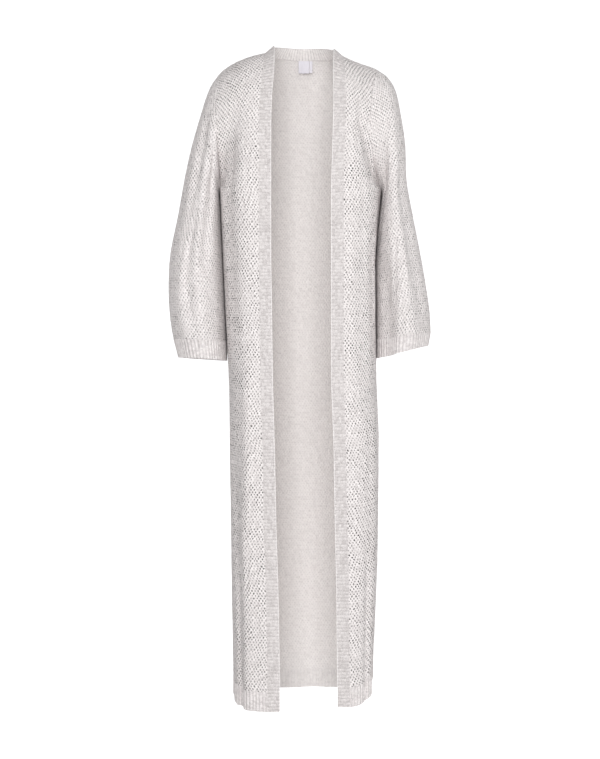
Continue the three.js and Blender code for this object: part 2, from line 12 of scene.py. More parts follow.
import bpy
import numpy as np
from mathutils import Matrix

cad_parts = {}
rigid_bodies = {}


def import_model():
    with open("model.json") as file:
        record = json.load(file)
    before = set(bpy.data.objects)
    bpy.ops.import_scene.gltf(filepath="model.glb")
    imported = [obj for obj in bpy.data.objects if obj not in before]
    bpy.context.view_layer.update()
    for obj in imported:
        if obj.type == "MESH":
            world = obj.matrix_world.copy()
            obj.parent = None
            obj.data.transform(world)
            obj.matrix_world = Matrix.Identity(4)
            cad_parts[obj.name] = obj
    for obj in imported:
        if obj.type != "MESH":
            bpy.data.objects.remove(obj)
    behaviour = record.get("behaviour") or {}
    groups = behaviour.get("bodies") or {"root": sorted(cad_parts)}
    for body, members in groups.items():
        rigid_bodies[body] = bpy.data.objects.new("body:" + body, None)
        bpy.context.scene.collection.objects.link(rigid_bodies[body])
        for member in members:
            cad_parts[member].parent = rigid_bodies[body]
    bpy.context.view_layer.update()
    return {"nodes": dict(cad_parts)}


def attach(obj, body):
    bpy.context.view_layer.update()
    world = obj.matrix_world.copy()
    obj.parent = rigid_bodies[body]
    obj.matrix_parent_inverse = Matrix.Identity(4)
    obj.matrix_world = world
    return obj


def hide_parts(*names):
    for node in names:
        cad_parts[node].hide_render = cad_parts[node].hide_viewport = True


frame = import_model()

# %% [markdown]
# ## Sizes
#
# Lengths are in millimetres, as a pattern cutter writes them, and become metres when a mesh is made.
# +X is the wearer's left, +Y the wearer's back, +Z is up, and the origin is at the top of the back neck.
# A wale is one column of stitches and a course is one row, so these two sizes set how coarse the knit looks.

# %% Sizes of cloth and stitches
MM = 0.001
WALL = 3.0
WALE = 6.6
COURSE = 4.9
BAND_RIB = 6.7
CUFF_RIB = 7.7
HEM_RIB = 6.7
BAND_WIDTH = 25.0
HEM_HEIGHT = 40.0
UNDERARM = -290.0
HEM_SEAM = -1300.0
HALF_DEPTH = 110.0
BODY_LENGTH = UNDERARM - HEM_SEAM
print("stitches in 100 mm:", round(100 / WALE, 1), "across and", round(100 / COURSE, 1), "down")

# %% [markdown]
# ## The two sides of the body
#
# The two sides aren't mirror images, because worn cloth never hangs the same way twice. A mirror would be
# quicker to make, but the eye finds it at once. So each side has a table, and all its pieces read it:
#
# - neck and tip are the two ends of the shoulder, bulge bows the armhole out, and tuck creases it
# - corner is how square the body turns to its side, and shoulder how steep the shoulder starts and ends
# - hem raises the lower edge, and phase moves the wander of the stitches
# - at each of the levels, side and opening are the distances from the middle to the side and the open edge

# %% Sizes of the two sides
RIGHT = {
    "name": "right",
    "sign": -1,
    "neck": (80, 14, -7),
    "tip": (172, 2, -49),
    "bulge": 6,
    "tuck": 18,
    "corner": {"front": 0.85, "back": 0.7},
    "shoulder": (0.4, 2.2),
    "hem": {"front": -5, "side": 4, "back": 0},
    "levels": (-1345, -1240, -1100, -980, -820, -700, -610, -530, -430, -290, -100, 0),
    "side": (141, 143, 146, 148, 151, 152.5, 156.5, 160.5, 165, 171.5, 172, 172),
    "opening": (48, 49, 51.5, 55.5, 58.5, 62, 63.5, 64.5, 66, 66, 66, 60),
    "phase": 0.15,
}
LEFT = {
    "name": "left",
    "sign": 1,
    "neck": (80, 14, -13),
    "tip": (150, 2, -41),
    "bulge": -20,
    "tuck": 8,
    "corner": {"front": 0.86, "back": 0.62},
    "shoulder": (1.4, 1.0),
    "hem": {"front": 5, "side": 42, "back": 2},
    "levels": (-1345, -1240, -1100, -980, -820, -700, -630, -560, -440, -382, -290, -100, 0),
    "side": (138, 143, 149, 151, 152.5, 147.5, 146.5, 145.5, 145, 149, 157, 148, 150),
    "opening": (67, 65.5, 64.5, 61.5, 59, 54.5, 54, 54, 54, 54, 54, 60, 61),
    "phase": 0.6,
}
SIDES = (RIGHT, LEFT)
CENTRE_BACK = {"y": 113, "neck_y": 60, "neck_z": -8}
print("width of the body at the hem, mm:", RIGHT["side"][0] + LEFT["side"][0])

# %% Rings of the two sleeves
# From the armhole to the cuff seam: outer x and z, inner x and z, half depth
RIGHT["sleeve"] = (
    (172, -49, 171.5, -290, 80),
    (185, -66, 175, -288, 80),
    (198, -92, 177, -300, 80),
    (213, -140, 175.5, -318, 81),
    (229, -195, 174, -340, 83),
    (244, -262, 172.5, -370, 86),
    (258, -340, 170.5, -412, 90),
    (274, -420, 168.5, -462, 94),
    (278, -490, 166, -515, 97),
    (275, -550, 163.7, -562, 98),
    (268, -596, 162, -602, 97),
)
RIGHT["cuff"] = (258, -634, 161, -641, 95)
LEFT["sleeve"] = (
    (150, -41, 157, -290, 80),
    (172, -58, 160, -288, 80),
    (188, -86, 162.5, -300, 80),
    (199, -139, 161, -318, 81),
    (207, -195, 158.5, -340, 83),
    (210, -268, 155, -370, 86),
    (222, -338, 151.8, -410, 90),
    (236, -408, 150, -455, 93),
    (248, -475, 150, -505, 95),
    (257, -535, 150.3, -552, 96),
    (260, -582, 151, -597, 95),
)
LEFT["cuff"] = (255, -610, 152, -636, 93)
print("width of each cuff, mm:", [side["cuff"][0] - side["cuff"][2] for side in SIDES])

# %% [markdown]
# ## Folds
#
# A fold is a soft ridge or trough: where it lies across the panel, how far it drifts on its way down, its
# top and bottom, its half width, and its depth. The large ones are the drape, and the small ones are
# creases under the arms and at the elbows. A cloth simulation could make them, but listing them one by one
# puts each one where it belongs, and keeps them as uneven as in real wear.

# %% Folds of the body
BODY_FOLDS = [
    # side, face, at, drift, top, bottom, width, depth
    (RIGHT, "front", 0.5, -0.08, -180, -640, 0.24, -6),
    (RIGHT, "front", 0.18, 0.1, -560, -1345, 0.16, 4),
    (RIGHT, "front", 0.52, -0.05, -760, -1345, 0.22, -7),
    (LEFT, "front", 0.24, 0.06, -240, -760, 0.2, -4),
    (LEFT, "front", 0.5, -0.04, -680, -1345, 0.16, 5),
    (LEFT, "front", 0.78, 0, -760, -1345, 0.2, -5),
    (RIGHT, "back", 0.3, 0.16, -260, -1345, 0.2, -9),
    (RIGHT, "back", 0.76, 0, -200, -700, 0.17, 10),
    (RIGHT, "back", 0.72, 0.06, -640, -1345, 0.2, 7),
    (LEFT, "back", 0.42, 0.14, -330, -1345, 0.22, -8),
    (LEFT, "back", 0.76, 0, -190, -720, 0.18, 10.5),
    (LEFT, "back", 0.76, 0, -700, -1345, 0.18, 7),
    # small creases
    (RIGHT, "front", 0.7, -0.05, -420, -760, 0.1, -3),
    (RIGHT, "front", 0.3, 0.05, -900, -1345, 0.08, 3),
    (RIGHT, "front", 0.58, 0, -1080, -1345, 0.07, 3.5),
    (RIGHT, "front", 0.42, 0.04, -150, -330, 0.09, -2.5),
    (LEFT, "front", 0.6, 0.05, -330, -600, 0.1, 3),
    (LEFT, "front", 0.3, 0.02, -1000, -1345, 0.08, -3),
    (LEFT, "front", 0.5, -0.08, -130, -300, 0.09, -2.5),
    (RIGHT, "back", 0.5, 0.05, -420, -900, 0.1, 4),
    (LEFT, "back", 0.6, -0.06, -900, -1300, 0.1, 4),
]
CENTRE_FOLDS = [
    # at, drift, top, bottom, width, depth
    (0.4, 0.05, -180, -900, 0.3, -6),
    (0.7, -0.08, -640, -1345, 0.26, 7),
]
print("folds of the body:", len(BODY_FOLDS) + len(CENTRE_FOLDS))

# %% Folds of the sleeves and armholes
SLEEVE_FOLDS = [
    # side, angle, turn, from, to, width, depth
    (RIGHT, 62, 22, 0.1, 1.1, 24, -8),
    (RIGHT, 118, -8, 0.2, 0.8, 20, -6),
    (RIGHT, 250, 18, 0.12, 1, 26, -9),
    (LEFT, 128, 34, 0.06, 0.62, 17, -12),
    (LEFT, 66, -14, 0.3, 1.1, 24, -6),
    (LEFT, 132, 0, 0.62, 1.3, 30, -10),
    (LEFT, 262, -20, 0.15, 0.95, 26, -8),
    # small creases
    (RIGHT, 100, 25, 0.1, 0.45, 10, -3.5),
    (RIGHT, 78, -20, 0.45, 0.85, 10, 3),
    (RIGHT, 300, 20, 0.3, 0.8, 14, 4),
    (LEFT, 98, 22, 0.1, 0.5, 9, 3.5),
    (LEFT, 92, 26, 0.55, 0.95, 9, -3.5),
    (LEFT, 74, 18, 0.6, 1.0, 10, 3),
    (LEFT, 300, -20, 0.2, 0.7, 14, -4),
]
ARMHOLE_CREASES = [
    # side, angle, half width in degrees, depth, reach on the body panel, reach on the sleeve
    (RIGHT, 140, 42, 24, 0.055, 0.07),
    (LEFT, 146, 38, 12, 0.06, 0.06),
    (RIGHT, 226, 36, 8, 0.08, 0.06),
    (LEFT, 222, 34, 8, 0.08, 0.06),
]
# The tuck of the ring at the armhole: where it lies and its half width, in degrees
TUCK_ANGLE = 130
TUCK_WIDTH = 50
print("folds of the sleeves:", len(SLEEVE_FOLDS), "and creases at the armholes:", len(ARMHOLE_CREASES))

# %% [markdown]
# ## The shape of the cloth
#
# Every point of the cardigan comes from a few short formulas: a place on a panel goes in, and a point in
# space comes out. The cloth could also be sculpted, but a formula can be asked again for any grid of points,
# however fine. The formulas take whole arrays at once, so a large panel is worked out in a moment.


# %% Small helpers
def mix(a, b, t):
    return a + (b - a) * t


def smooth(t):
    t = np.clip(t, 0, 1)
    return t * t * (3 - 2 * t)


def vector(x, y, z):
    return np.stack(np.broadcast_arrays(x, y, z), axis=-1).astype(float)


def unit(v):
    return v / np.maximum(np.linalg.norm(v, axis=-1, keepdims=True), 1e-12)


def bump_across(across):
    return np.where(np.abs(across) < 1, np.cos(across * math.pi / 2) ** 2, 0)


print("height of a fold from its middle to its edge:", bump_across(np.linspace(0, 1, 5)).round(2))

# %% The seam between the front and its band
# How round the cloth goes over the shoulder, and how late it turns in towards the neck
SHOULDER_ROUNDNESS = 0.7
NECK_TURN = 0.4


def level_value(side, name, z):
    return np.interp(z, side["levels"], side[name])


def neck_column(side, face, row):
    """The line where the front meets its band, from 0 at the hem seam to 1 at the underarm and 2 on top."""
    row = np.asarray(row, float)
    forward = -1 if face == "front" else 1
    sign, (neck_x, neck_y, neck_z) = side["sign"], side["neck"]
    raised = np.clip(row - 1, 0, 1)
    arch = raised * math.pi / 2
    low_z = mix(HEM_SEAM, UNDERARM, np.clip(row, 0, 1))
    z = np.where(row <= 1, low_z, mix(UNDERARM, neck_z, np.sin(arch)))
    y = neck_y + (forward * HALF_DEPTH - neck_y) * np.clip(np.cos(arch), 0, 1) ** SHOULDER_ROUNDNESS
    y = np.where(row <= 1, forward * HALF_DEPTH, y)
    if face == "front":
        open_edge = level_value(side, "opening", z) + BAND_WIDTH
        x = mix(open_edge, neck_x, smooth(raised * (1 + NECK_TURN) - NECK_TURN))
    else:
        x = np.full(row.shape, float(neck_x))
    return vector(sign * x, y, z + side["hem"][face] * (1 - np.clip(row, 0, 1)))


print("the right band's seam at hem, underarm and neck, mm:")
print(neck_column(RIGHT, "front", [0, 1, 2]).round())


# %% The side seam and the armhole
def ring_point(side, section, angle, armhole=0):
    """Angle 0 is the outer point and a quarter turn the front. armhole says how far the ring is that seam."""
    outer_x, outer_z, inner_x, inner_z, half_depth = section
    outward = (1 + np.cos(angle)) / 2
    x = mix(inner_x, outer_x, outward) + side["bulge"] * armhole * np.sin(angle) ** 2
    crease = bump_across((np.degrees(angle) % 360 - TUCK_ANGLE) / TUCK_WIDTH)
    y = side["tuck"] * armhole * crease - half_depth * np.sin(angle)
    return vector(side["sign"] * x, y, mix(inner_z, outer_z, outward))


def armhole_crease(side, angle, away, where):
    """How far the cloth beside the armhole is drawn in. away is its distance from that seam."""
    degrees = np.degrees(angle) % 360
    depth = np.zeros(np.broadcast(degrees, away).shape)
    for owner, at, width, deep, body_reach, sleeve_reach in ARMHOLE_CREASES:
        if owner is side:
            near = np.clip(1 - away / (body_reach if where == "body" else sleeve_reach), 0, 1)
            depth += (1 if at < 180 else -1) * deep * bump_across((degrees - at) / width) * near**2
    return depth


def armhole_angle(face, row):
    return math.pi * (2 - row) if face == "front" else math.pi * row


def outer_end(side, face, row):
    row = np.asarray(row, float)
    z = mix(HEM_SEAM, UNDERARM, np.clip(row, 0, 1))
    drop = side["hem"]["side"] * (1 - np.clip(row, 0, 1))
    below = vector(side["sign"] * level_value(side, "side", z), 0, z + drop)
    above = ring_point(side, side["sleeve"][0], armhole_angle(face, row), 1)
    return np.where((row <= 1)[..., None], below, above)


print("the right side seam at hem, underarm and shoulder tip, mm:")
print(outer_end(RIGHT, "front", [0, 1, 2]).round())

# %% One body panel
# A third of the way gives a plain curve, and a longer handle a rounder one
PLAIN_HANDLE = 0.33
SIDE_HANDLE = 0.55
# Folds fade in over a quarter of their length, and out over an eighth of the panel beside its seams
FOLD_EASE = 4
SEAM_EASE = 8


def fold_height(folds, place, z):
    height = np.zeros(np.broadcast(place, z).shape)
    for at, drift, top, bottom, width, depth in folds:
        along = (top - z) / (top - bottom)
        across = (place - at - drift * np.clip(along, 0, 1)) / width
        ends = bottom > HEM_SEAM - HEM_HEIGHT
        fade = smooth(along * FOLD_EASE) * (smooth((1 - along) * FOLD_EASE) if ends else 1)
        height += np.where(along > 0, depth * fade * bump_across(across), 0)
    return height


def body_point(side, face, row, place):
    """A row is one cubic curve from the band's seam to the side seam or the armhole."""
    row, place = np.broadcast_arrays(np.asarray(row, float), np.asarray(place, float))
    forward = -1 if face == "front" else 1
    start, end = neck_column(side, face, row), outer_end(side, face, row)
    raised = np.clip(row - 1, 0, 1)
    fall = (side["neck"][2] - side["tip"][2]) / (side["tip"][0] - side["neck"][0])
    leave = unit(vector(side["sign"], 0, -fall * side["shoulder"][0] * raised))
    shoulder_end = np.array([side["sign"], 0, -fall * side["shoulder"][1]])
    arrive = unit(mix(np.array([0, -forward, 0]), shoulder_end, (raised**0.45)[..., None]))
    reach = np.abs(end[..., 0] - start[..., 0])
    start_length = reach * mix(side["corner"][face], PLAIN_HANDLE, raised)
    end_length = mix(HALF_DEPTH * SIDE_HANDLE, reach * PLAIN_HANDLE, np.sqrt(raised))
    start_handle = start + leave * start_length[..., None]
    end_handle = end - arrive * end_length[..., None]
    t = place[..., None]
    point = (1 - t) ** 3 * start + 3 * (1 - t) ** 2 * t * start_handle
    point = point + 3 * (1 - t) * t**2 * end_handle + t**3 * end
    outward = unit(vector(side["sign"] * place, forward * (1.05 - place), 0))
    folds = [fold[2:] for fold in BODY_FOLDS if fold[0] is side and fold[1] == face]
    inside = smooth(place * SEAM_EASE) * smooth((1 - place) * SEAM_EASE)
    crease = armhole_crease(side, armhole_angle(face, row), 1 - place, "body")
    point[..., 1] += np.where(row > 1, crease, 0)
    return point + outward * (fold_height(folds, place, point[..., 2]) * inside)[..., None]


print("across the right front at the underarm, mm:")
print(body_point(RIGHT, "front", 1, np.linspace(0, 1, 4)).round())


# %% The whole back
def centre_point(row, place):
    """The middle of the back, from the right neck column to the left one, with its own hollow and folds."""
    row, place = np.broadcast_arrays(np.asarray(row, float), np.asarray(place, float))
    right, left = neck_column(RIGHT, "back", row), neck_column(LEFT, "back", row)
    point = mix(right, left, place[..., None])
    across = np.sin(place * math.pi)
    raised = np.clip(row - 1, 0, 1)
    spine_y = mix(CENTRE_BACK["y"], CENTRE_BACK["neck_y"], raised**4)
    spine_z = np.where(row <= 1, point[..., 2], mix(UNDERARM, CENTRE_BACK["neck_z"], raised))
    point[..., 1] = mix(point[..., 1], spine_y, across)
    point[..., 2] = mix(point[..., 2], spine_z, across)
    point[..., 1] += fold_height(CENTRE_FOLDS, place, point[..., 2]) * across
    return point


def back_point(row, place):
    """The whole back: 0 to 1 is its right part, 1 to 2 the middle and 2 to 3 its left part."""
    row, place = np.broadcast_arrays(np.asarray(row, float), np.asarray(place, float))
    right = body_point(RIGHT, "back", row, np.clip(1 - place, 0, 1))
    middle = centre_point(row, np.clip(place - 1, 0, 1))
    left = body_point(LEFT, "back", row, np.clip(place - 2, 0, 1))
    first = np.where((place < 1)[..., None], right, middle)
    return np.where((place > 2)[..., None], left, first)


print("across the back at the underarm, mm:")
print(back_point(1, np.linspace(0, 3, 4)).round())


# %% The sleeves and cuffs
def curve_through(values, place):
    """A smooth curve through a short list of values, read at places counted from 0."""
    values = np.asarray(values, float)
    last = len(values) - 1
    index = np.clip(np.floor(place).astype(int), 0, last - 1)
    t = place - index
    a, b = values[index], values[index + 1]
    before, after = values[np.maximum(index - 1, 0)], values[np.minimum(index + 2, last)]
    slope_a = np.where(index > 0, (b - before) / 2, b - a)
    slope_b = np.where(index < last - 1, (after - a) / 2, b - a)
    t2, t3 = t * t, t**3
    ends = a * (2 * t3 - 3 * t2 + 1) + slope_a * (t3 - 2 * t2 + t)
    return ends + b * (3 * t2 - 2 * t3) + slope_b * (t3 - t2)


def ring_outward(side, angle):
    return vector(side["sign"] * np.cos(angle), -np.sin(angle), 0)


def sleeve_folds(side, along, angle):
    degrees = np.degrees(angle) % 360
    height = np.zeros(np.broadcast(along, angle).shape)
    for owner, at, turn, start, end, width, depth in SLEEVE_FOLDS:
        if owner is side:
            t = (along - start) / (end - start)
            across = (degrees - at - turn * np.clip(t, 0, 1)) / width
            height += depth * smooth(t * FOLD_EASE) * smooth((1 - t) * FOLD_EASE) * bump_across(across)
    return height


def sleeve_point(side, along, angle):
    """The sleeve, from the armhole at 0 to the cuff seam at 1."""
    along, angle = np.broadcast_arrays(np.asarray(along, float), np.asarray(angle, float))
    place = along * (len(side["sleeve"]) - 1)
    section = [curve_through(column, place) for column in zip(*side["sleeve"])]
    point = ring_point(side, section, angle, 1 - np.clip(place, 0, 1))
    point[..., 1] += armhole_crease(side, angle, along, "sleeve")
    return point + ring_outward(side, angle) * sleeve_folds(side, along, angle)[..., None]


def cuff_point(side, down, angle):
    """The cuff, from its seam at 0 to its free edge at 1."""
    down, angle = np.broadcast_arrays(np.asarray(down, float), np.asarray(angle, float))
    top = sleeve_point(side, np.ones(angle.shape), angle)
    fold = sleeve_folds(side, np.ones(angle.shape), angle)
    low = ring_point(side, side["cuff"], angle) + ring_outward(side, angle) * fold[..., None]
    return mix(top, low, down[..., None])


print("outer point of the right sleeve at armhole, halfway and at the cuff seam, mm:")
print(sleeve_point(RIGHT, [0, 0.5, 1], 0).round())

# %% [markdown]
# ## The grid of stitches
#
# Knitting is a grid: wales run down the cloth and courses run across it. A picture of stitches could be
# stretched over the cloth instead, but it would bend with every fold and blur up close. So the mesh itself is
# laid out in that grid, with two points for each stitch both ways, and it is cut off at the armholes and
# side seams as a knitted panel is. The ends of every row lie exactly on the seams.

# %% Rows of stitches on a surface
SAMPLES = 2
# A stitch point keeps this share of a half stitch away from the seam
SEAM_CLEARANCE = 0.3
# How a wale wanders sideways on its way up: reach in stitches, and length in courses
SWAY = {"reach": 1.2, "courses": 52}
WOBBLE = {"reach": 0.3, "courses": 4.1}


def dense_rows(surface, marks, places, totals):
    """Points of a surface on evenly spaced courses. marks gives the course length at dense row places."""
    rows = np.empty((len(totals), len(places)))
    for c in range(len(places)):
        rows[:, c] = np.interp(totals, marks[:, c], ROW_PLACES)
    return surface(rows, np.asarray(places)[None, :])


def lengths_across(points, middle):
    steps = np.linalg.norm(np.diff(points, axis=1), axis=2)
    across = np.concatenate([np.zeros((len(points), 1)), np.cumsum(steps, axis=1)], axis=1)
    return across - across[:, middle : middle + 1]


def wander(course, phase):
    """How many stitches a wale has moved to the side at a course, since no knitting hangs quite straight."""
    sway = SWAY["reach"] * math.sin(2 * math.pi * (course / SWAY["courses"] + phase))
    return sway + WOBBLE["reach"] * math.sin(course / WOBBLE["courses"] + 5 * phase)


def cut_rows(points, middle, courses, phase):
    """Cuts each dense row of points into half stitches, and ends it exactly at its two edges."""
    across = lengths_across(points, middle)
    step = WALE / SAMPLES
    strip = []
    for j, (row, s) in enumerate(zip(points, across)):
        lean = wander(courses[j], phase)
        first = math.floor((s[0] + SEAM_CLEARANCE * step) / step - lean * SAMPLES) + 1
        last = math.ceil((s[-1] - SEAM_CLEARANCE * step) / step - lean * SAMPLES) - 1
        inside = (np.arange(first, last + 1) / SAMPLES + lean) * WALE
        at = np.concatenate([[s[0]], inside, [s[-1]]])
        xyz = np.stack([np.interp(at, s, row[:, k]) for k in range(3)], axis=1)
        course = np.full(len(at), courses[j])
        strip.append({"low": first - 1, "points": xyz, "u": at / WALE - lean, "v": course})
    return strip


print("wander at some courses, in stitches:", [round(wander(c, RIGHT["phase"]), 2) for c in (0, 50, 100)])

# %% [markdown]
# ## From rows to a closed piece of cloth
#
# Cloth has two faces, and a Solidify modifier could give it its thickness. Here the two faces are made
# separately: the outer face keeps every point of the grid, and the inner face only some of them, because
# nobody can count stitches inside a sleeve. Narrow walls join the two, so each piece is a closed body.


# %% Faces between the rows
def strip_faces(lows, counts, offsets):
    """Faces between neighbouring rows. A row's end point stands in for the columns that it lacks."""
    faces = []
    for j in range(len(lows) - 1):
        low_a, low_b = lows[j], lows[j + 1]
        high_a, high_b = low_a + counts[j] - 1, low_b + counts[j + 1] - 1
        for i in range(min(low_a, low_b), max(high_a, high_b)):
            a = offsets[j] + min(max(i, low_a), high_a) - low_a
            b = offsets[j] + min(max(i + 1, low_a), high_a) - low_a
            c = offsets[j + 1] + min(max(i + 1, low_b), high_b) - low_b
            d = offsets[j + 1] + min(max(i, low_b), high_b) - low_b
            if a == b and c != d:
                faces.append((a, c, d))
            elif c == d and a != b:
                faces.append((a, b, c))
            elif a != b:
                faces.append((a, b, c, d))
    return faces


def point_normals(points, faces):
    normals = np.zeros_like(points)
    for size in (3, 4):
        some = np.array([face for face in faces if len(face) == size])
        if len(some):
            corners = points[some]
            face_normals = np.cross(corners[:, 2] - corners[:, 0], corners[:, -1] - corners[:, 1])
            if size == 3:
                face_normals = np.cross(corners[:, 1] - corners[:, 0], corners[:, 2] - corners[:, 0])
            for k in range(size):
                np.add.at(normals, some[:, k], face_normals)
    return unit(normals)


print("two rows of three points make", len(strip_faces([0, 0], [3, 3], [0, 3])), "faces")


# %% The inner face and the walls
def coarse_columns(low, count, step):
    inside = [i for i in range(low + 1, low + count - 1) if i % step == 0]
    first = inside[0] // step - 1 if inside else low // step
    return first, [0] + [i - low for i in inside] + [count - 1]


def pick_inner(lows, counts, offsets, row_step, column_step):
    """The grid points that the inner face keeps: every few rows, and every few columns of each."""
    rows = sorted(set(range(0, len(lows), row_step)) | {len(lows) - 1})
    inner = {"rows": rows, "ids": [], "lows": [], "counts": [], "offsets": [], "columns": []}
    for j in rows:
        first, picks = coarse_columns(lows[j], counts[j], column_step)
        inner["offsets"].append(len(inner["ids"]))
        inner["ids"].extend(offsets[j] + k for k in picks)
        inner["lows"].append(first)
        inner["counts"].append(len(picks))
        inner["columns"].append(picks)
    return inner


def fan(outer, inner, stations, turned):
    """Joins a fine edge to a coarse one. stations says which outer point each inner one lies under."""
    faces = []
    for j in range(len(inner) - 1):
        start, end = stations[j], stations[j + 1]
        middle = (start + end) // 2
        for i in range(start, end):
            faces.append((outer[i], outer[i + 1], inner[j] if i < middle else inner[j + 1]))
        faces.append((outer[middle], inner[j + 1], inner[j]))
    return [face[::-1] for face in faces] if turned else faces


def edge_walls(counts, offsets, inner, base):
    """The narrow walls round a piece: along its first and last row, then along its two ends."""
    walls = []
    for at, flip in ((0, True), (-1, False)):
        outer = [offsets[at] + k for k in range(counts[at])]
        under = [base + inner["offsets"][at] + k for k in range(inner["counts"][at])]
        walls += fan(outer, under, inner["columns"][at], flip)
    inner_rows = list(zip(inner["offsets"], inner["counts"]))
    for end, flip in (("low", False), ("high", True)):
        outer = [o if end == "low" else o + n - 1 for o, n in zip(offsets, counts)]
        under = [base + (o if end == "low" else o + n - 1) for o, n in inner_rows]
        walls += fan(outer, under, inner["rows"], flip)
    return walls


print("columns kept of a row of 12 points:", coarse_columns(0, 12, 4)[1])

# %% A closed shell
# Edges sharper than this stay crisp, such as the rim of a cuff
CREASE_ANGLE = math.radians(55)
# The stitch attribute's third number is how open the knit is, never below this outside, and 0 inside
OUTSIDE_MARK = 0.02


def make_piece(name, points, faces, stitch, outward):
    mesh = bpy.data.meshes.new(name)
    mesh.from_pydata((points * MM).tolist(), [], faces)
    for label, values in (("stitch", stitch), ("outward", outward)):
        attribute = mesh.attributes.new(label, "FLOAT_VECTOR", "POINT")
        attribute.data.foreach_set("vector", values.astype(np.float32).ravel())
    mesh.polygons.foreach_set("use_smooth", [True] * len(mesh.polygons))
    mesh.update()
    mesh.set_sharp_from_angle(angle=CREASE_ANGLE)
    piece = bpy.data.objects.new(name, mesh)
    bpy.context.scene.collection.objects.link(piece)
    return piece


def shell(name, strip, axis, openness=None, row_step=5, column_step=4):
    """A closed piece of cloth. axis gives, for each point, one further inside the cardigan."""
    counts = [len(row["points"]) for row in strip]
    lows = [row["low"] for row in strip]
    offsets = np.concatenate([[0], np.cumsum(counts)[:-1]]).astype(int).tolist()
    points, u, v = (np.concatenate([row[key] for row in strip]) for key in ("points", "u", "v"))
    faces = strip_faces(lows, counts, offsets)
    normals = point_normals(points, faces)
    turned = np.median(np.einsum("ij,ij->i", normals, points - axis(points))) < 0
    if turned:
        normals = -normals

    inner = pick_inner(lows, counts, offsets, row_step, column_step)
    ids = np.array(inner["ids"])
    base = len(points)
    inner_faces = strip_faces(inner["lows"], inner["counts"], inner["offsets"])
    inner_faces = [tuple(base + k for k in face[::-1]) for face in inner_faces]
    all_faces = faces + inner_faces + edge_walls(counts, offsets, inner, base)
    if turned:
        all_faces = [face[::-1] for face in all_faces]

    open_share = np.ones(len(u)) if openness is None else openness(u)
    stitch = np.stack([u, v, np.maximum(open_share, OUTSIDE_MARK)], axis=1)
    inner_stitch = np.stack([u[ids], v[ids], np.zeros(len(ids))], axis=1)
    piece = make_piece(
        name,
        np.concatenate([points + normals * WALL / 2, points[ids] - normals[ids] * WALL / 2]),
        all_faces,
        np.concatenate([stitch, inner_stitch]),
        np.concatenate([normals, -normals[ids]]),
    )
    print(name, "has", len(piece.data.vertices), "points and", len(piece.data.polygons), "faces")
    return piece


# %% [markdown]
# ## Body panels
#
# Below the underarm a course of the body is level. Above it, courses rise evenly from the chest over the
# shoulder, so they stay level on the chest and are cut off by the armhole. Each front is one panel, and so
# is the back. The stitches sit tighter beside the bands, where the linking holds them.

# %% Course lengths on the body
LOWER_ROWS = 41
UPPER_ROWS = 241
ROW_PLACES = np.concatenate([np.linspace(0, 1, LOWER_ROWS), 1 + np.linspace(0, 1, UPPER_ROWS)[1:]])
UPPER_PLACES = ROW_PLACES[ROW_PLACES >= 1]


def course_marks(surface, column, places):
    """For each dense place, the length of cloth from the hem seam up to each dense row."""
    line = neck_column(*column, UPPER_PLACES)
    steps = np.linalg.norm(np.diff(line, axis=0), axis=1)
    lengths = np.concatenate([[0], np.cumsum(steps)])
    rise = (line[:, 2] - line[0, 2]) / (line[-1, 2] - line[0, 2])
    marks = np.empty((len(ROW_PLACES), len(places)))
    lower = ROW_PLACES <= 1
    points = surface(UPPER_PLACES[:, None], np.asarray(places)[None, :])
    for c in range(len(places)):
        z = np.maximum.accumulate(points[:, c, 2])
        share = (z - z[0]) / (z[-1] - z[0])
        marks[lower, c] = ROW_PLACES[lower] * BODY_LENGTH
        marks[~lower, c] = BODY_LENGTH + np.interp(share, rise, lengths)[1:]
    # A hair's breadth for each row keeps the lengths rising where the cloth is level
    marks += np.arange(len(ROW_PLACES))[:, None] * 1e-6
    return marks


print("dense rows of a body panel:", len(ROW_PLACES))

# %% Knit the body panels
PANEL_PLACES = np.linspace(0, 1, 65)
CENTRE_PLACES = np.linspace(0, 1, 41)
BACK_PLACES = np.concatenate([PANEL_PLACES, 1 + CENTRE_PLACES[1:], 2 + PANEL_PLACES[1:]])
BACK_MIDDLE = 1.5
# The line that every body piece faces away from
AXIS_Y = 10.0
AXIS_TOP = -150
# How open the stitches are at the band, and where they open up, in stitches from it
BAND_OPENNESS = 0.75
OPENING_STARTS = 2
OPENING_LENGTH = 8
BACK_OPENNESS = 0.85


def body_axis(points):
    return vector(0, AXIS_Y, np.minimum(points[:, 2], AXIS_TOP))


def front_openness(u):
    return BAND_OPENNESS + (1 - BAND_OPENNESS) * smooth((u - OPENING_STARTS) / OPENING_LENGTH)


def back_openness(u):
    return np.full(len(u), BACK_OPENNESS)


def knit_panel(name, surface, column, places, middle, openness, column_step=4):
    marks = course_marks(surface, column, places)
    count = round(marks[-1, 0] / COURSE * SAMPLES)
    totals = np.linspace(0, marks[-1].min(), count + 1)
    points = dense_rows(surface, marks, places, totals)
    strip = cut_rows(points, middle, totals / COURSE, column[0]["phase"])
    return shell(f"{name}_knit", strip, body_axis, openness, column_step=column_step)


knit_pieces = {}
for side in SIDES:
    name = f"{side['name']}_front"

    def front_surface(row, place, side=side):
        return body_point(side, "front", row, place)

    knit_pieces[name] = knit_panel(name, front_surface, (side, "front"), PANEL_PLACES, 0, front_openness)
middle = int(np.argmin(np.abs(BACK_PLACES - BACK_MIDDLE)))
knit_pieces["back"] = knit_panel(
    "back", back_point, (RIGHT, "back"), BACK_PLACES, middle, back_openness, column_step=2
)

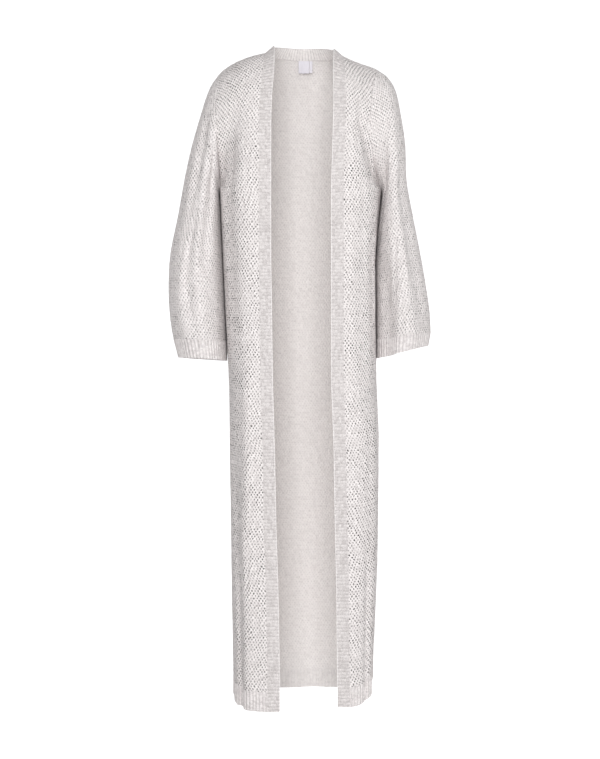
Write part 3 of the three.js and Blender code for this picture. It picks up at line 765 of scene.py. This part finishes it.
# %% [markdown]
# ## Sleeves
#
# A sleeve is one wide panel sewn into a tube under the arm. Its courses start level at the cuff and are
# cut off by the seam below the armhole, and above that by the curve of the armhole. Wrapping a flat panel
# round the tube would slant the courses, so each course is looked up on the tube at its own height.

# %% Knit the sleeves
ROUND_PLACES = 145
ALONG_PLACES = 161
# The last course stops this share of a course short of the armhole's top
TOP_CLEARANCE = 0.4


def sleeve_axis(side, at):
    """A point inside the sleeve at the height of each given point."""
    levels = [-np.mean([ring[1], ring[3]]) for ring in side["sleeve"]]
    middles = [(ring[0] + ring[2]) / 2 for ring in side["sleeve"]]
    return vector(side["sign"] * np.interp(-at[:, 2], levels, middles), 0, at[:, 2])


def sleeve_panel(side):
    """Courses are counted up from the cuff seam. Above the underarm each one ends at the armhole."""
    angles = np.linspace(-math.pi, math.pi, ROUND_PLACES)
    along = np.linspace(1, 0, ALONG_PLACES)
    table = sleeve_point(side, along[:, None], angles[None, :])
    steps = np.linalg.norm(np.diff(table, axis=0), axis=2)
    heights = np.concatenate([np.zeros((1, len(angles))), np.cumsum(steps, axis=0)])
    outer = len(angles) // 2
    total = heights[-1, outer]
    levels = np.linspace(0, total - TOP_CLEARANCE * COURSE, round(total / COURSE * SAMPLES))
    places = np.linspace(-1, 1, ROUND_PLACES)
    rows = []
    for level in levels:
        back_end = np.interp(level, heights[-1, : outer + 1], angles[: outer + 1])
        front_end = -np.interp(level, heights[-1, outer:][::-1], -angles[outer:][::-1])
        row_angles = np.where(places < 0, -places * back_end, places * front_end)
        row_along = [np.interp(level, heights[:, k], along) for k in range(len(angles))]
        rows.append(sleeve_point(side, np.interp(row_angles, angles, row_along), row_angles))
    strip = cut_rows(np.array(rows), len(places) // 2, levels / COURSE, side["phase"])

    def axis(at):
        return sleeve_axis(side, at)

    return shell(f"{side['name']}_sleeve_knit", strip, axis, back_openness)


for side in SIDES:
    knit_pieces[f"{side['name']}_sleeve"] = sleeve_panel(side)

# %% [markdown]
# ## Ribbed bands, cuffs and hems
#
# Ribbing is a row of round ridges that draws the cloth in at its edges. On the front bands the ridges run
# across the band, and on cuffs and hems they run down to the free edge. A ribbed piece is swept between
# two lines: the seam that it shares with the knit, and its own free edge. That keeps the seam exact.

# %% Ribbed strips
RIB_SAMPLES = 6
RIB_COLUMN_STEP = 6


def ribbed_strip(edge_rows, pitch):
    """edge_rows are dense lines from the seam to the free edge. Each is cut into a whole number of ribs."""
    steps = np.linalg.norm(np.diff(edge_rows[0], axis=0), axis=1)
    lengths = np.concatenate([[0], np.cumsum(steps)])
    ribs = max(1, round(lengths[-1] / pitch))
    at = np.linspace(0, lengths[-1], ribs * RIB_SAMPLES + 1)
    rib_numbers = np.linspace(0, ribs, ribs * RIB_SAMPLES + 1)
    gap = np.linalg.norm(edge_rows[1] - edge_rows[0], axis=1).mean()
    courses = np.arange(len(edge_rows)) * gap / COURSE
    strip = []
    for line, course in zip(edge_rows, courses):
        points = np.stack([np.interp(at, lengths, line[:, k]) for k in range(3)], axis=1)
        strip.append({"low": 0, "points": points, "u": rib_numbers, "v": np.full(len(at), course)})
    return strip


def rib_shell(name, lines, pitch, axis):
    return shell(f"{name}_rib", ribbed_strip(lines, pitch), axis, column_step=RIB_COLUMN_STEP)


print("mesh points across one band rib:", RIB_SAMPLES, "or one every", round(BAND_RIB / RIB_SAMPLES, 2), "mm")

# %% Front bands and neck band
BAND_LINES = 11
# The band lies flat on the chest and starts to stand up here, a third of the way over the shoulder
BAND_STANDS_FROM = 1.35
BAND_LEAN = (0.72, -0.12, 0.62)
NECK_LEAN = -0.55
NECK_PLACES = 61


def band_direction(side, row):
    raised = smooth((row - BAND_STANDS_FROM) / (2 - BAND_STANDS_FROM))[..., None]
    flat = np.array([-side["sign"], 0, 0])
    standing = np.array([-side["sign"] * BAND_LEAN[0], BAND_LEAN[1], BAND_LEAN[2]])
    return unit(mix(flat, standing, raised))


def front_band(side):
    rows = np.concatenate([[0], np.linspace(0, 1, 161), 1 + np.linspace(0, 1, 121)[1:]])
    seam = neck_column(side, "front", rows)
    seam[0, 2] -= HEM_HEIGHT
    direction = band_direction(side, rows)
    lines = [seam + direction * w for w in np.linspace(0, BAND_WIDTH, BAND_LINES)]
    return rib_shell(f"{side['name']}_front_band", lines, BAND_RIB, body_axis)


def neck_band():
    places = np.linspace(0, 1, NECK_PLACES)
    seam = centre_point(np.full(NECK_PLACES, 2.0), places)
    right, left = (band_direction(side, np.array([2.0]))[0] for side in SIDES)
    ends = mix(right, left, places[:, None])
    upright = vector(ends[:, 0], NECK_LEAN, 1)
    direction = unit(mix(ends, upright, np.sin(places * math.pi)[:, None]))
    lines = [seam + direction * w for w in np.linspace(0, BAND_WIDTH, BAND_LINES)]
    return rib_shell("neck_band", lines, BAND_RIB, body_axis)


rib_pieces = {"neck_band": neck_band()}

# %% Hems and cuffs
HEM_LINES = 9
CUFF_PLACES = 181
FRONT_HEM_PLACES = 121
BACK_HEM_PLACES = 361


def hem(name, line):
    lines = [line - np.array([0, 0, h]) for h in np.linspace(0, HEM_HEIGHT, HEM_LINES)]
    return rib_shell(name, lines, HEM_RIB, body_axis)


def cuff(side):
    angles = np.linspace(-math.pi, math.pi, CUFF_PLACES)
    lines = [cuff_point(side, np.full(CUFF_PLACES, d), angles) for d in np.linspace(0, 1, HEM_LINES)]
    centre = np.mean(lines[0], axis=0)

    def axis(at):
        return vector(centre[0], 0, at[:, 2])

    return rib_shell(f"{side['name']}_cuff", lines, CUFF_RIB, axis)


for side in SIDES:
    rib_pieces[f"{side['name']}_front_band"] = front_band(side)
    rib_pieces[f"{side['name']}_cuff"] = cuff(side)
    line = body_point(side, "front", np.zeros(FRONT_HEM_PLACES), np.linspace(0, 1, FRONT_HEM_PLACES))
    rib_pieces[f"{side['name']}_front_hem"] = hem(f"{side['name']}_front_hem", line)
line = back_point(np.zeros(BACK_HEM_PLACES), np.linspace(0, 3, BACK_HEM_PLACES))
rib_pieces["back_hem"] = hem("back_hem", line)

# %% [markdown]
# ## Stitches by Geometry Nodes
#
# One small node tree lifts every stitch of every piece. It reads the stitch number that each point keeps,
# makes a wave across the wales, turns it over on every other course so that the stitches stand staggered,
# and moves the point along its own outward direction. A loop over all points in Python would do the same,
# but in a tree the heights stay inputs. Knit and rib differ only in the values that they give it.

# %% One function for all nodes
MATH = "ShaderNodeMath"


def add_node(tree, kind, settings, *values, **named):
    """Adds a node, sets its properties, and feeds the inputs that it shows, in their order or by name.

    settings may be just the name of the operation. A value may be a number, a colour, a socket, or another
    node, which stands for the first output that it shows.
    """
    node = tree.nodes.new(kind)
    for name, value in ({"operation": settings} if isinstance(settings, str) else settings).items():
        setattr(node, name, value)
    shown = [socket for socket in node.inputs if socket.enabled]
    fed = list(zip(shown, values)) + [(node.inputs[name], value) for name, value in named.items()]
    for socket, value in fed:
        if isinstance(value, bpy.types.Node):
            value = next(output for output in value.outputs if output.enabled)
        if isinstance(value, bpy.types.NodeSocket):
            tree.links.new(value, socket)
        else:
            socket.default_value = value
    return node


# %% The relief tree
# Courses are this far apart in the numbers of the stitches, so that each stitch has its own
STITCHES_IN_A_COURSE = 613.0


def relief_tree():
    tree = bpy.data.node_groups.new("knit relief", "GeometryNodeTree")
    face = tree.interface
    face.new_socket("Geometry", in_out="INPUT", socket_type="NodeSocketGeometry")
    for label in ("Rib height", "Stitch height", "Unevenness"):
        face.new_socket(label, in_out="INPUT", socket_type="NodeSocketFloat")
    face.new_socket("Seed", in_out="INPUT", socket_type="NodeSocketInt")
    face.new_socket("Material", in_out="INPUT", socket_type="NodeSocketMaterial")
    face.new_socket("Geometry", in_out="OUTPUT", socket_type="NodeSocketGeometry")
    given = tree.nodes.new("NodeGroupInput").outputs
    read = "GeometryNodeInputNamedAttribute"
    stitch = add_node(tree, read, {"data_type": "FLOAT_VECTOR"}, "stitch")
    outward = add_node(tree, read, {"data_type": "FLOAT_VECTOR"}, "outward")
    parts = add_node(tree, "ShaderNodeSeparateXYZ", {}, stitch).outputs

    # The waves: a ridge down each wale, and stitches that stand staggered on it
    wave_u = add_node(tree, MATH, "COSINE", add_node(tree, MATH, "MULTIPLY", parts[0], 2 * math.pi))
    wave_v = add_node(tree, MATH, "COSINE", add_node(tree, MATH, "MULTIPLY", parts[1], math.pi))
    ribs = add_node(tree, MATH, "MULTIPLY", wave_u, given["Rib height"])
    staggered = add_node(tree, MATH, "MULTIPLY", wave_u, wave_v)
    high = add_node(tree, MATH, "MULTIPLY_ADD", staggered, given["Stitch height"], ribs)

    # Each stitch gets its own random share of that height
    column = add_node(tree, MATH, "FLOOR", add_node(tree, MATH, "ADD", parts[0], 0.5))
    course = add_node(tree, MATH, "FLOOR", add_node(tree, MATH, "ADD", parts[1], 0.5))
    number = add_node(tree, MATH, "MULTIPLY_ADD", course, STITCHES_IN_A_COURSE, column)
    low = add_node(tree, MATH, "SUBTRACT", 1.0, given["Unevenness"])
    top = add_node(tree, MATH, "ADD", 1.0, given["Unevenness"])
    kind = "FunctionNodeRandomValue"
    share = add_node(tree, kind, {"data_type": "FLOAT"}, low, top, number, given["Seed"])
    high = add_node(tree, MATH, "MULTIPLY", high, share)
    high = add_node(tree, MATH, "MULTIPLY", high, parts[2])

    offset = add_node(tree, "ShaderNodeVectorMath", "SCALE", outward, high)
    moved = add_node(tree, "GeometryNodeSetPosition", {}, given["Geometry"], Offset=offset)
    real = add_node(tree, "GeometryNodeRealizeInstances", {}, moved)
    painted = add_node(tree, "GeometryNodeSetMaterial", {}, real, Material=given["Material"])
    add_node(tree, "NodeGroupOutput", {}, painted)
    return tree


def apply_tree(piece, tree, values):
    """Runs a node tree on a piece once, keeps the mesh that it makes, and takes the modifier off again."""
    modifier = piece.modifiers.new(tree.name, "NODES")
    modifier.node_group = tree
    for item in tree.interface.items_tree:
        if item.in_out == "INPUT" and item.name in values:
            modifier[item.identifier] = values[item.name]
    graph = bpy.context.evaluated_depsgraph_get()
    mesh = bpy.data.meshes.new_from_object(piece.evaluated_get(graph))
    piece.modifiers.remove(modifier)
    old = piece.data
    piece.data = mesh
    mesh.name = old.name
    bpy.data.meshes.remove(old)


relief = relief_tree()
print("nodes in the relief tree:", len(relief.nodes))

# %% [markdown]
# ## Finishes
#
# The yarn is a soft off-white wool blend, spun from lighter and darker fibres. Between stitches the cloth
# is open, and the shade seen in those hollows is painted into the colour as dark points. The yarn itself is
# matt with a little fuzz, which a sheen gives. An image of knitting could be used, but it would not follow
# these stitches. So the material reads the same stitch numbers as the relief does, and each painted hollow
# shade falls exactly between its own stitches.


# %% Colours
def colour(code):
    parts = [int(code[k : k + 2], 16) / 255 for k in (0, 2, 4)]
    linear = [p / 12.92 if p <= 0.04045 else ((p + 0.055) / 1.055) ** 2.4 for p in parts]
    return (*linear, 1.0)


# Each pair is the darker and the lighter fibre of a yarn
YARN = (colour("d3cdcc"), colour("faf5f4"))
RIB = (colour("cbc5c4"), colour("f5f0ef"))
BAND = (colour("bbb5b4"), colour("e9e4e3"))
# Painted light and shade: the shade seen in the hollows, the paler inside face, and the highlight on a band's
# edge
HOLLOW_SHADE = colour("2b2624")
PAINTED_INSIDE_LIGHT = colour("fbf7f5")
EDGE_HIGHLIGHT = colour("f8f4f3")
TAPE = colour("e4e1e9")
PAPER = colour("ffffff")
GROUND = colour("cfcdcc")
print("the lighter yarn in linear light:", [round(part, 2) for part in YARN[1][:3]])


# %% Pattern sizes
def per_metre(size):
    """How many of a pattern of this size, in mm, fit in a metre."""
    return float(round(1000 / size))


# Loops pushed out of line, looser and tighter areas, and the marl of the yarn
PULLS = per_metre(10.5)
PATCHES = per_metre(36)
MARL = per_metre(2.38)
# Real fibre ends are finer, and are drawn as coarse as they need to be to show
FUZZ = per_metre(1.111)
print("patterns in a metre:", PULLS, PATCHES, MARL, FUZZ)

# %% Parts of the yarn material
RAMP = {"interpolation_type": "SMOOTHSTEP"}
MIX = {"data_type": "RGBA"}
FLAT_NOISE = {"noise_dimensions": "2D"}


def new_material(name):
    material = bpy.data.materials.new(name)
    material.use_nodes = True
    return material, material.node_tree, material.node_tree.nodes["Principled BSDF"]


def pulled_waves(tree, parts, place, amount):
    """The two waves of the stitches, pushed out of line by a soft noise, as loops never are quite in line."""
    pull = add_node(tree, "ShaderNodeTexNoise", {}, Vector=place, Scale=PULLS, Detail=1.0)
    pulls = add_node(tree, "ShaderNodeSeparateXYZ", {}, pull.outputs["Color"]).outputs
    waves = []
    for k, turn in ((0, 2 * math.pi), (1, math.pi)):
        push = add_node(tree, MATH, "MULTIPLY_ADD", pulls[k], amount, -amount / 2)
        number = add_node(tree, MATH, "ADD", parts[k], push)
        waves.append(add_node(tree, MATH, "COSINE", add_node(tree, MATH, "MULTIPLY", number, turn)))
    return waves


def random_by_stitch(tree, parts, shift):
    """One random number for each stitch, or, with no shift, for the hollow between stitches."""
    whole = []
    for part in (parts[0], parts[1]):
        whole.append(add_node(tree, MATH, "FLOOR", add_node(tree, MATH, "ADD", part, shift)))
    number = add_node(tree, "ShaderNodeCombineXYZ", {}, *whole)
    return add_node(tree, "ShaderNodeTexWhiteNoise", FLAT_NOISE, Vector=number)


# %% [markdown]
# ## The yarn material
#
# The first two numbers say how dark the painted shade in the hollows is outside and inside, and tones are
# the two fibre colours. The inside face is painted paler, as painted light. Ribbing is knitted firmer than
# the panels, so its loops are pulled out of line less and its hollows run along the ribs. A band also has a
# cast-off edge, which lies flatter and catches more light, so a painted highlight runs along it.


# %% The yarn material
# How far loops are pulled out of line, in stitches, in loose knit and in firm ribbing
KNIT_PULL = 0.9
RIB_PULL = 0.15
# Shade is painted into the hollows of the waves, from this height down to the next
HOLLOW_STARTS = -0.05
HOLLOW_FULL = -0.75
# Painted light that makes the inside face paler: what a random number of each stitch adds, and what all of
# them have
KNIT_INSIDE_LIGHT = (0.25, 0.55)
RIB_INSIDE_LIGHT = (0.15, 0.5)
# Where the painted highlight on the cast-off edge starts and is complete, in courses from the free edge
CAST_OFF_STARTS = 0.35
CAST_OFF_FULL = 0.1


def knit_material(name, hollow_shade, inner_hollow_shade, tones, rib=False, pattern_bump=0.0006, edge=None):
    material, tree, shader = new_material(name)
    stitch = add_node(tree, "ShaderNodeAttribute", {"attribute_name": "stitch"})
    parts = add_node(tree, "ShaderNodeSeparateXYZ", {}, stitch.outputs["Vector"]).outputs
    place = add_node(tree, "ShaderNodeTexCoord", {}).outputs["Object"]
    inner = add_node(tree, "ShaderNodeMapRange", RAMP, parts[2], OUTSIDE_MARK * 0.75, 0.0)
    wave_u, wave_v = pulled_waves(tree, parts, place, RIB_PULL if rib else KNIT_PULL)
    both = wave_u if rib else add_node(tree, MATH, "MULTIPLY", wave_u, wave_v)
    # The hollows between stitches, where shade is painted
    hollow = add_node(tree, "ShaderNodeMapRange", RAMP, both, HOLLOW_STARTS, HOLLOW_FULL)

    # How dark the painted shade in the hollows is: patchy on the outside, faint and even on the inside
    patches = add_node(tree, "ShaderNodeTexNoise", {}, Vector=place, Scale=PATCHES, Detail=2.0)
    patchy = add_node(tree, "ShaderNodeMapRange", RAMP, patches, 0.25, 0.7)
    patchy = add_node(tree, MATH, "MULTIPLY_ADD", patchy, 0.4, 0.6)
    outside = add_node(tree, MATH, "MULTIPLY", parts[2], hollow_shade)
    outside = add_node(tree, MATH, "MULTIPLY", outside, patchy)
    strength = add_node(tree, MATH, "MULTIPLY_ADD", inner, inner_hollow_shade, outside)
    chance = random_by_stitch(tree, parts, 0.0)
    chance = add_node(tree, MATH, "MULTIPLY_ADD", chance, 1.1, 0.45)
    strength = add_node(tree, MATH, "MULTIPLY", strength, chance)
    clamped = {"operation": "MULTIPLY", "use_clamp": True}
    hollow = add_node(tree, MATH, clamped, hollow, strength)

    # The colour of the yarn: a marl of two fibres, and each stitch a little lighter or darker
    random = random_by_stitch(tree, parts, 0.5)
    tone = add_node(tree, "ShaderNodeTexNoise", {}, Vector=place, Scale=MARL, Detail=3.0)
    tone = add_node(tree, "ShaderNodeMapRange", RAMP, tone, 0.3, 0.8)
    light = add_node(tree, MATH, "MULTIPLY_ADD", random, 0.6, tone)
    light = add_node(tree, MATH, clamped, light, 0.8)
    yarn = add_node(tree, "ShaderNodeMix", MIX, light, *tones)
    # Painted light: the inside face is made paler, for the light that reaches it
    painted_inside_light = add_node(tree, MATH, "MULTIPLY_ADD", random, *(RIB_INSIDE_LIGHT if rib else KNIT_INSIDE_LIGHT))
    painted_inside_light = add_node(tree, MATH, "MULTIPLY", inner, painted_inside_light)
    yarn = add_node(tree, "ShaderNodeMix", MIX, painted_inside_light, yarn, PAINTED_INSIDE_LIGHT)
    # Painted highlight along a band's cast-off edge
    if edge is not None:
        ends = (edge - CAST_OFF_STARTS, edge - CAST_OFF_FULL)
        painted_edge_highlight = add_node(tree, "ShaderNodeMapRange", RAMP, parts[1], *ends)
        yarn = add_node(tree, "ShaderNodeMix", MIX, painted_edge_highlight, yarn, EDGE_HIGHLIGHT)
    # Painted shade in the hollows between stitches
    base = add_node(tree, "ShaderNodeMix", MIX, hollow, yarn, HOLLOW_SHADE)
    tree.links.new(base.outputs[2], shader.inputs["Base Color"])

    # Round loops and loose fibre ends, as bump
    fuzz = add_node(tree, "ShaderNodeTexNoise", {}, Vector=place, Scale=FUZZ, Detail=4.0, Roughness=0.7)
    high = add_node(tree, MATH, "MULTIPLY_ADD", both, 0.6, fuzz)
    bump = add_node(tree, "ShaderNodeBump", {}, Strength=0.6, Distance=pattern_bump, Height=high)
    tree.links.new(bump.outputs[0], shader.inputs["Normal"])
    shader.inputs["Roughness"].default_value = 0.92
    shader.inputs["Specular IOR Level"].default_value = 0.15
    shader.inputs["Sheen Weight"].default_value = 0.15
    shader.inputs["Sheen Roughness"].default_value = 0.5
    return material


# %% The yarns of this cardigan
# The first two numbers say how dark the painted shade in the hollows is, outside and inside
knit_yarn = knit_material("wool blend jersey knit, loose gauge", 1.0, 0.1, YARN)
sleeve_yarn = knit_material("wool blend jersey knit, loose gauge, sleeves", 0.75, 0.06, YARN)
rib_yarn = knit_material("wool blend rib knit, firm gauge", 0.16, 0.04, RIB, rib=True)
neck_yarn = knit_material("wool blend rib knit, firm gauge, neck band", 0.2, 0.16, RIB, rib=True)
band_yarn = knit_material(
    "wool blend rib knit, firm gauge, front bands",
    0.12,
    0.1,
    BAND,
    rib=True,
    pattern_bump=0.0005,
    edge=BAND_WIDTH / COURSE,
)
print("yarns:", [m.name for m in bpy.data.materials if "wool" in m.name])

# %% Lift the stitches and paint them
# Heights are in metres. The front bands are knitted flatter than the other ribs
KNIT_HEIGHTS = {"Rib height": 0.0001, "Stitch height": 0.0009, "Unevenness": 0.5}
RIB_HEIGHTS = {"Rib height": 0.0007, "Stitch height": 0.0, "Unevenness": 0.15}
BAND_HEIGHTS = {**RIB_HEIGHTS, "Rib height": 0.00025}
for seed, (name, piece) in enumerate(knit_pieces.items()):
    yarn = sleeve_yarn if name.endswith("sleeve") else knit_yarn
    apply_tree(piece, relief, {**KNIT_HEIGHTS, "Seed": seed, "Material": yarn})
for seed, (name, piece) in enumerate(rib_pieces.items()):
    heights, yarn = RIB_HEIGHTS, rib_yarn
    if name.endswith("front_band"):
        heights, yarn = BAND_HEIGHTS, band_yarn
    elif name == "neck_band":
        yarn = neck_yarn
    apply_tree(piece, relief, {**heights, "Seed": seed, "Material": yarn})
print("pieces with lifted stitches:", len(knit_pieces) + len(rib_pieces))

# %% [markdown]
# ## Labels
#
# Two blank tapes hang inside the back neck. A woven label could be made as another cloth shell, but these
# are small and flat, so they stay as measured and only get the slight shine and fine threads of satin.

# %% Label tape
THREAD = 0.349
# A wave texture makes 20 waves for each 2 pi of its scale
THREADS = per_metre(THREAD * 20 / (2 * math.pi))
tape, tape_tree, tape_shader = new_material("woven satin label tape")
place = add_node(tape_tree, "ShaderNodeTexCoord", {}).outputs["Object"]
threads = add_node(tape_tree, "ShaderNodeTexWave", {"bands_direction": "X"}, Vector=place, Scale=THREADS)
bump = add_node(
    tape_tree, "ShaderNodeBump", {}, Strength=0.2, Distance=0.0002, Height=threads.outputs["Fac"]
)
tape_tree.links.new(bump.outputs[0], tape_shader.inputs["Normal"])
tape_shader.inputs["Base Color"].default_value = TAPE
tape_shader.inputs["Roughness"].default_value = 0.45
for name in ("neck_label", "size_tab"):
    frame["nodes"][name].material_slots[0].material = tape
print("scale of the label's threads:", THREADS)

# %% [markdown]
# ## Where each piece belongs
#
# Every piece of cloth rides on the one body of the cardigan and takes the place of one measured piece. Its
# flat size is what a maker would cut or knit: width and length in metres, and the area where the piece
# isn't a rectangle.

# %% Hand the pieces over
FLAT_SIZES = {
    "back": (0.53, 1.31, 0.56),
    "right_front": (0.17, 1.34, 0.18),
    "left_front": (0.17, 1.34, 0.17),
    "right_sleeve": (0.6, 0.58, 0.2),
    "left_sleeve": (0.6, 0.55, 0.2),
    "right_front_band": (0.025, 1.44, None),
    "left_front_band": (0.025, 1.44, None),
    "neck_band": (0.025, 0.19, None),
    "right_cuff": (0.49, 0.04, None),
    "left_cuff": (0.48, 0.04, None),
    "right_front_hem": (0.2, 0.04, None),
    "left_front_hem": (0.18, 0.04, None),
    "back_hem": (0.5, 0.04, None),
}
for name, piece in {**knit_pieces, **rib_pieces}.items():
    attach(piece, "root")
    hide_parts(name)
cut = sum(area or width * length for width, length, area in FLAT_SIZES.values())
print("cloth in all, square metres:", round(cut, 2))

# %% [markdown]
# ## Light, floor and camera
#
# A bright studio shot has large soft lights and a backdrop that is nearly white. The backdrop is one sheet
# of paper that bends up behind the cardigan, and it glows a little so that it stays white without bleaching
# the cloth. The camera stands level with the middle of the cardigan, so that its edges stay upright.

# %% Backdrop
# In metres: half width, front edge, where the bend starts, its radius, the top, and the floor's level
PAPER_REACH = 5.0
PAPER_FRONT = -0.7
BEND_START = 1.2
BEND_RADIUS = 1.0
PAPER_TOP = 4.0
FLOOR_LEVEL = -1.9


def backdrop():
    bend = np.linspace(0.15, math.pi / 2, 12)
    profile = [(PAPER_FRONT, 0.0), (BEND_START, 0.0)]
    for a in bend:
        profile.append((BEND_START + BEND_RADIUS * math.sin(a), BEND_RADIUS - BEND_RADIUS * math.cos(a)))
    profile.append((BEND_START + BEND_RADIUS, PAPER_TOP))
    points, faces = [], []
    for y, z in profile:
        points += [(-PAPER_REACH, y, z + FLOOR_LEVEL), (PAPER_REACH, y, z + FLOOR_LEVEL)]
    for k in range(len(profile) - 1):
        faces.append((2 * k, 2 * k + 1, 2 * k + 3, 2 * k + 2))
    mesh = bpy.data.meshes.new("backdrop")
    mesh.from_pydata(points, [], faces)
    mesh.polygons.foreach_set("use_smooth", [True] * len(faces))
    sheet = bpy.data.objects.new("backdrop", mesh)
    bpy.context.scene.collection.objects.link(sheet)
    return sheet


sweep = backdrop()
for name, tint, glow in (("white paper backdrop", PAPER, 0.6), ("pale matt studio floor", GROUND, 0.0)):
    paper, _, shader = new_material(name)
    shader.inputs["Base Color"].default_value = tint
    shader.inputs["Roughness"].default_value = 1.0
    if glow:
        shader.inputs["Emission Color"].default_value = tint
        shader.inputs["Emission Strength"].default_value = glow
    sweep.data.materials.append(paper)
sweep.data.polygons[0].material_index = 1
print("faces of the backdrop:", len(sweep.data.polygons))


# %% Lights
def area_light(name, place, aim, size, power):
    light = bpy.data.lights.new(name, "AREA")
    light.shape = "SQUARE"
    light.size = size
    light.energy = power
    lamp = bpy.data.objects.new(name, light)
    bpy.context.scene.collection.objects.link(lamp)
    lamp.location = place
    direction = np.array(aim) - np.array(place)
    flat = math.hypot(direction[0], direction[1])
    lamp.rotation_euler = (math.atan2(flat, -direction[2]), 0, math.atan2(-direction[0], direction[1]))


area_light("key", (-0.05, -3.9, -0.2), (0, 0, -0.68), 1.8, 98)
area_light("side", (-1.7, -3.0, 0.4), (0, 0, -0.6), 1.2, 13)
area_light("fill", (2.3, -2.3, -0.1), (0, 0, -0.6), 1.4, 23)
world = bpy.data.worlds.new("soft studio")
world.use_nodes = True
sky = world.node_tree.nodes["Background"]
sky.inputs["Color"].default_value = (1, 1, 1, 1)
sky.inputs["Strength"].default_value = 0.3
bpy.context.scene.world = world
bpy.context.scene.view_settings.view_transform = "Standard"
print("lights:", [light.name for light in bpy.data.lights])

# %% Camera
CAMERA_PLACE = (-0.00828, -3.25, -0.68)
FIELD_OF_VIEW = math.radians(27.18)
SENSOR_HEIGHT = 24
camera_data = bpy.data.cameras.new("camera")
camera_data.sensor_fit = "VERTICAL"
camera_data.sensor_height = SENSOR_HEIGHT
camera_data.lens = SENSOR_HEIGHT / (2 * math.tan(FIELD_OF_VIEW / 2))
camera = bpy.data.objects.new("camera", camera_data)
camera.location = CAMERA_PLACE
camera.rotation_euler = (math.radians(90), 0, 0)
bpy.context.scene.collection.objects.link(camera)
bpy.context.scene.camera = camera
print("lens, mm:", round(camera_data.lens, 1))
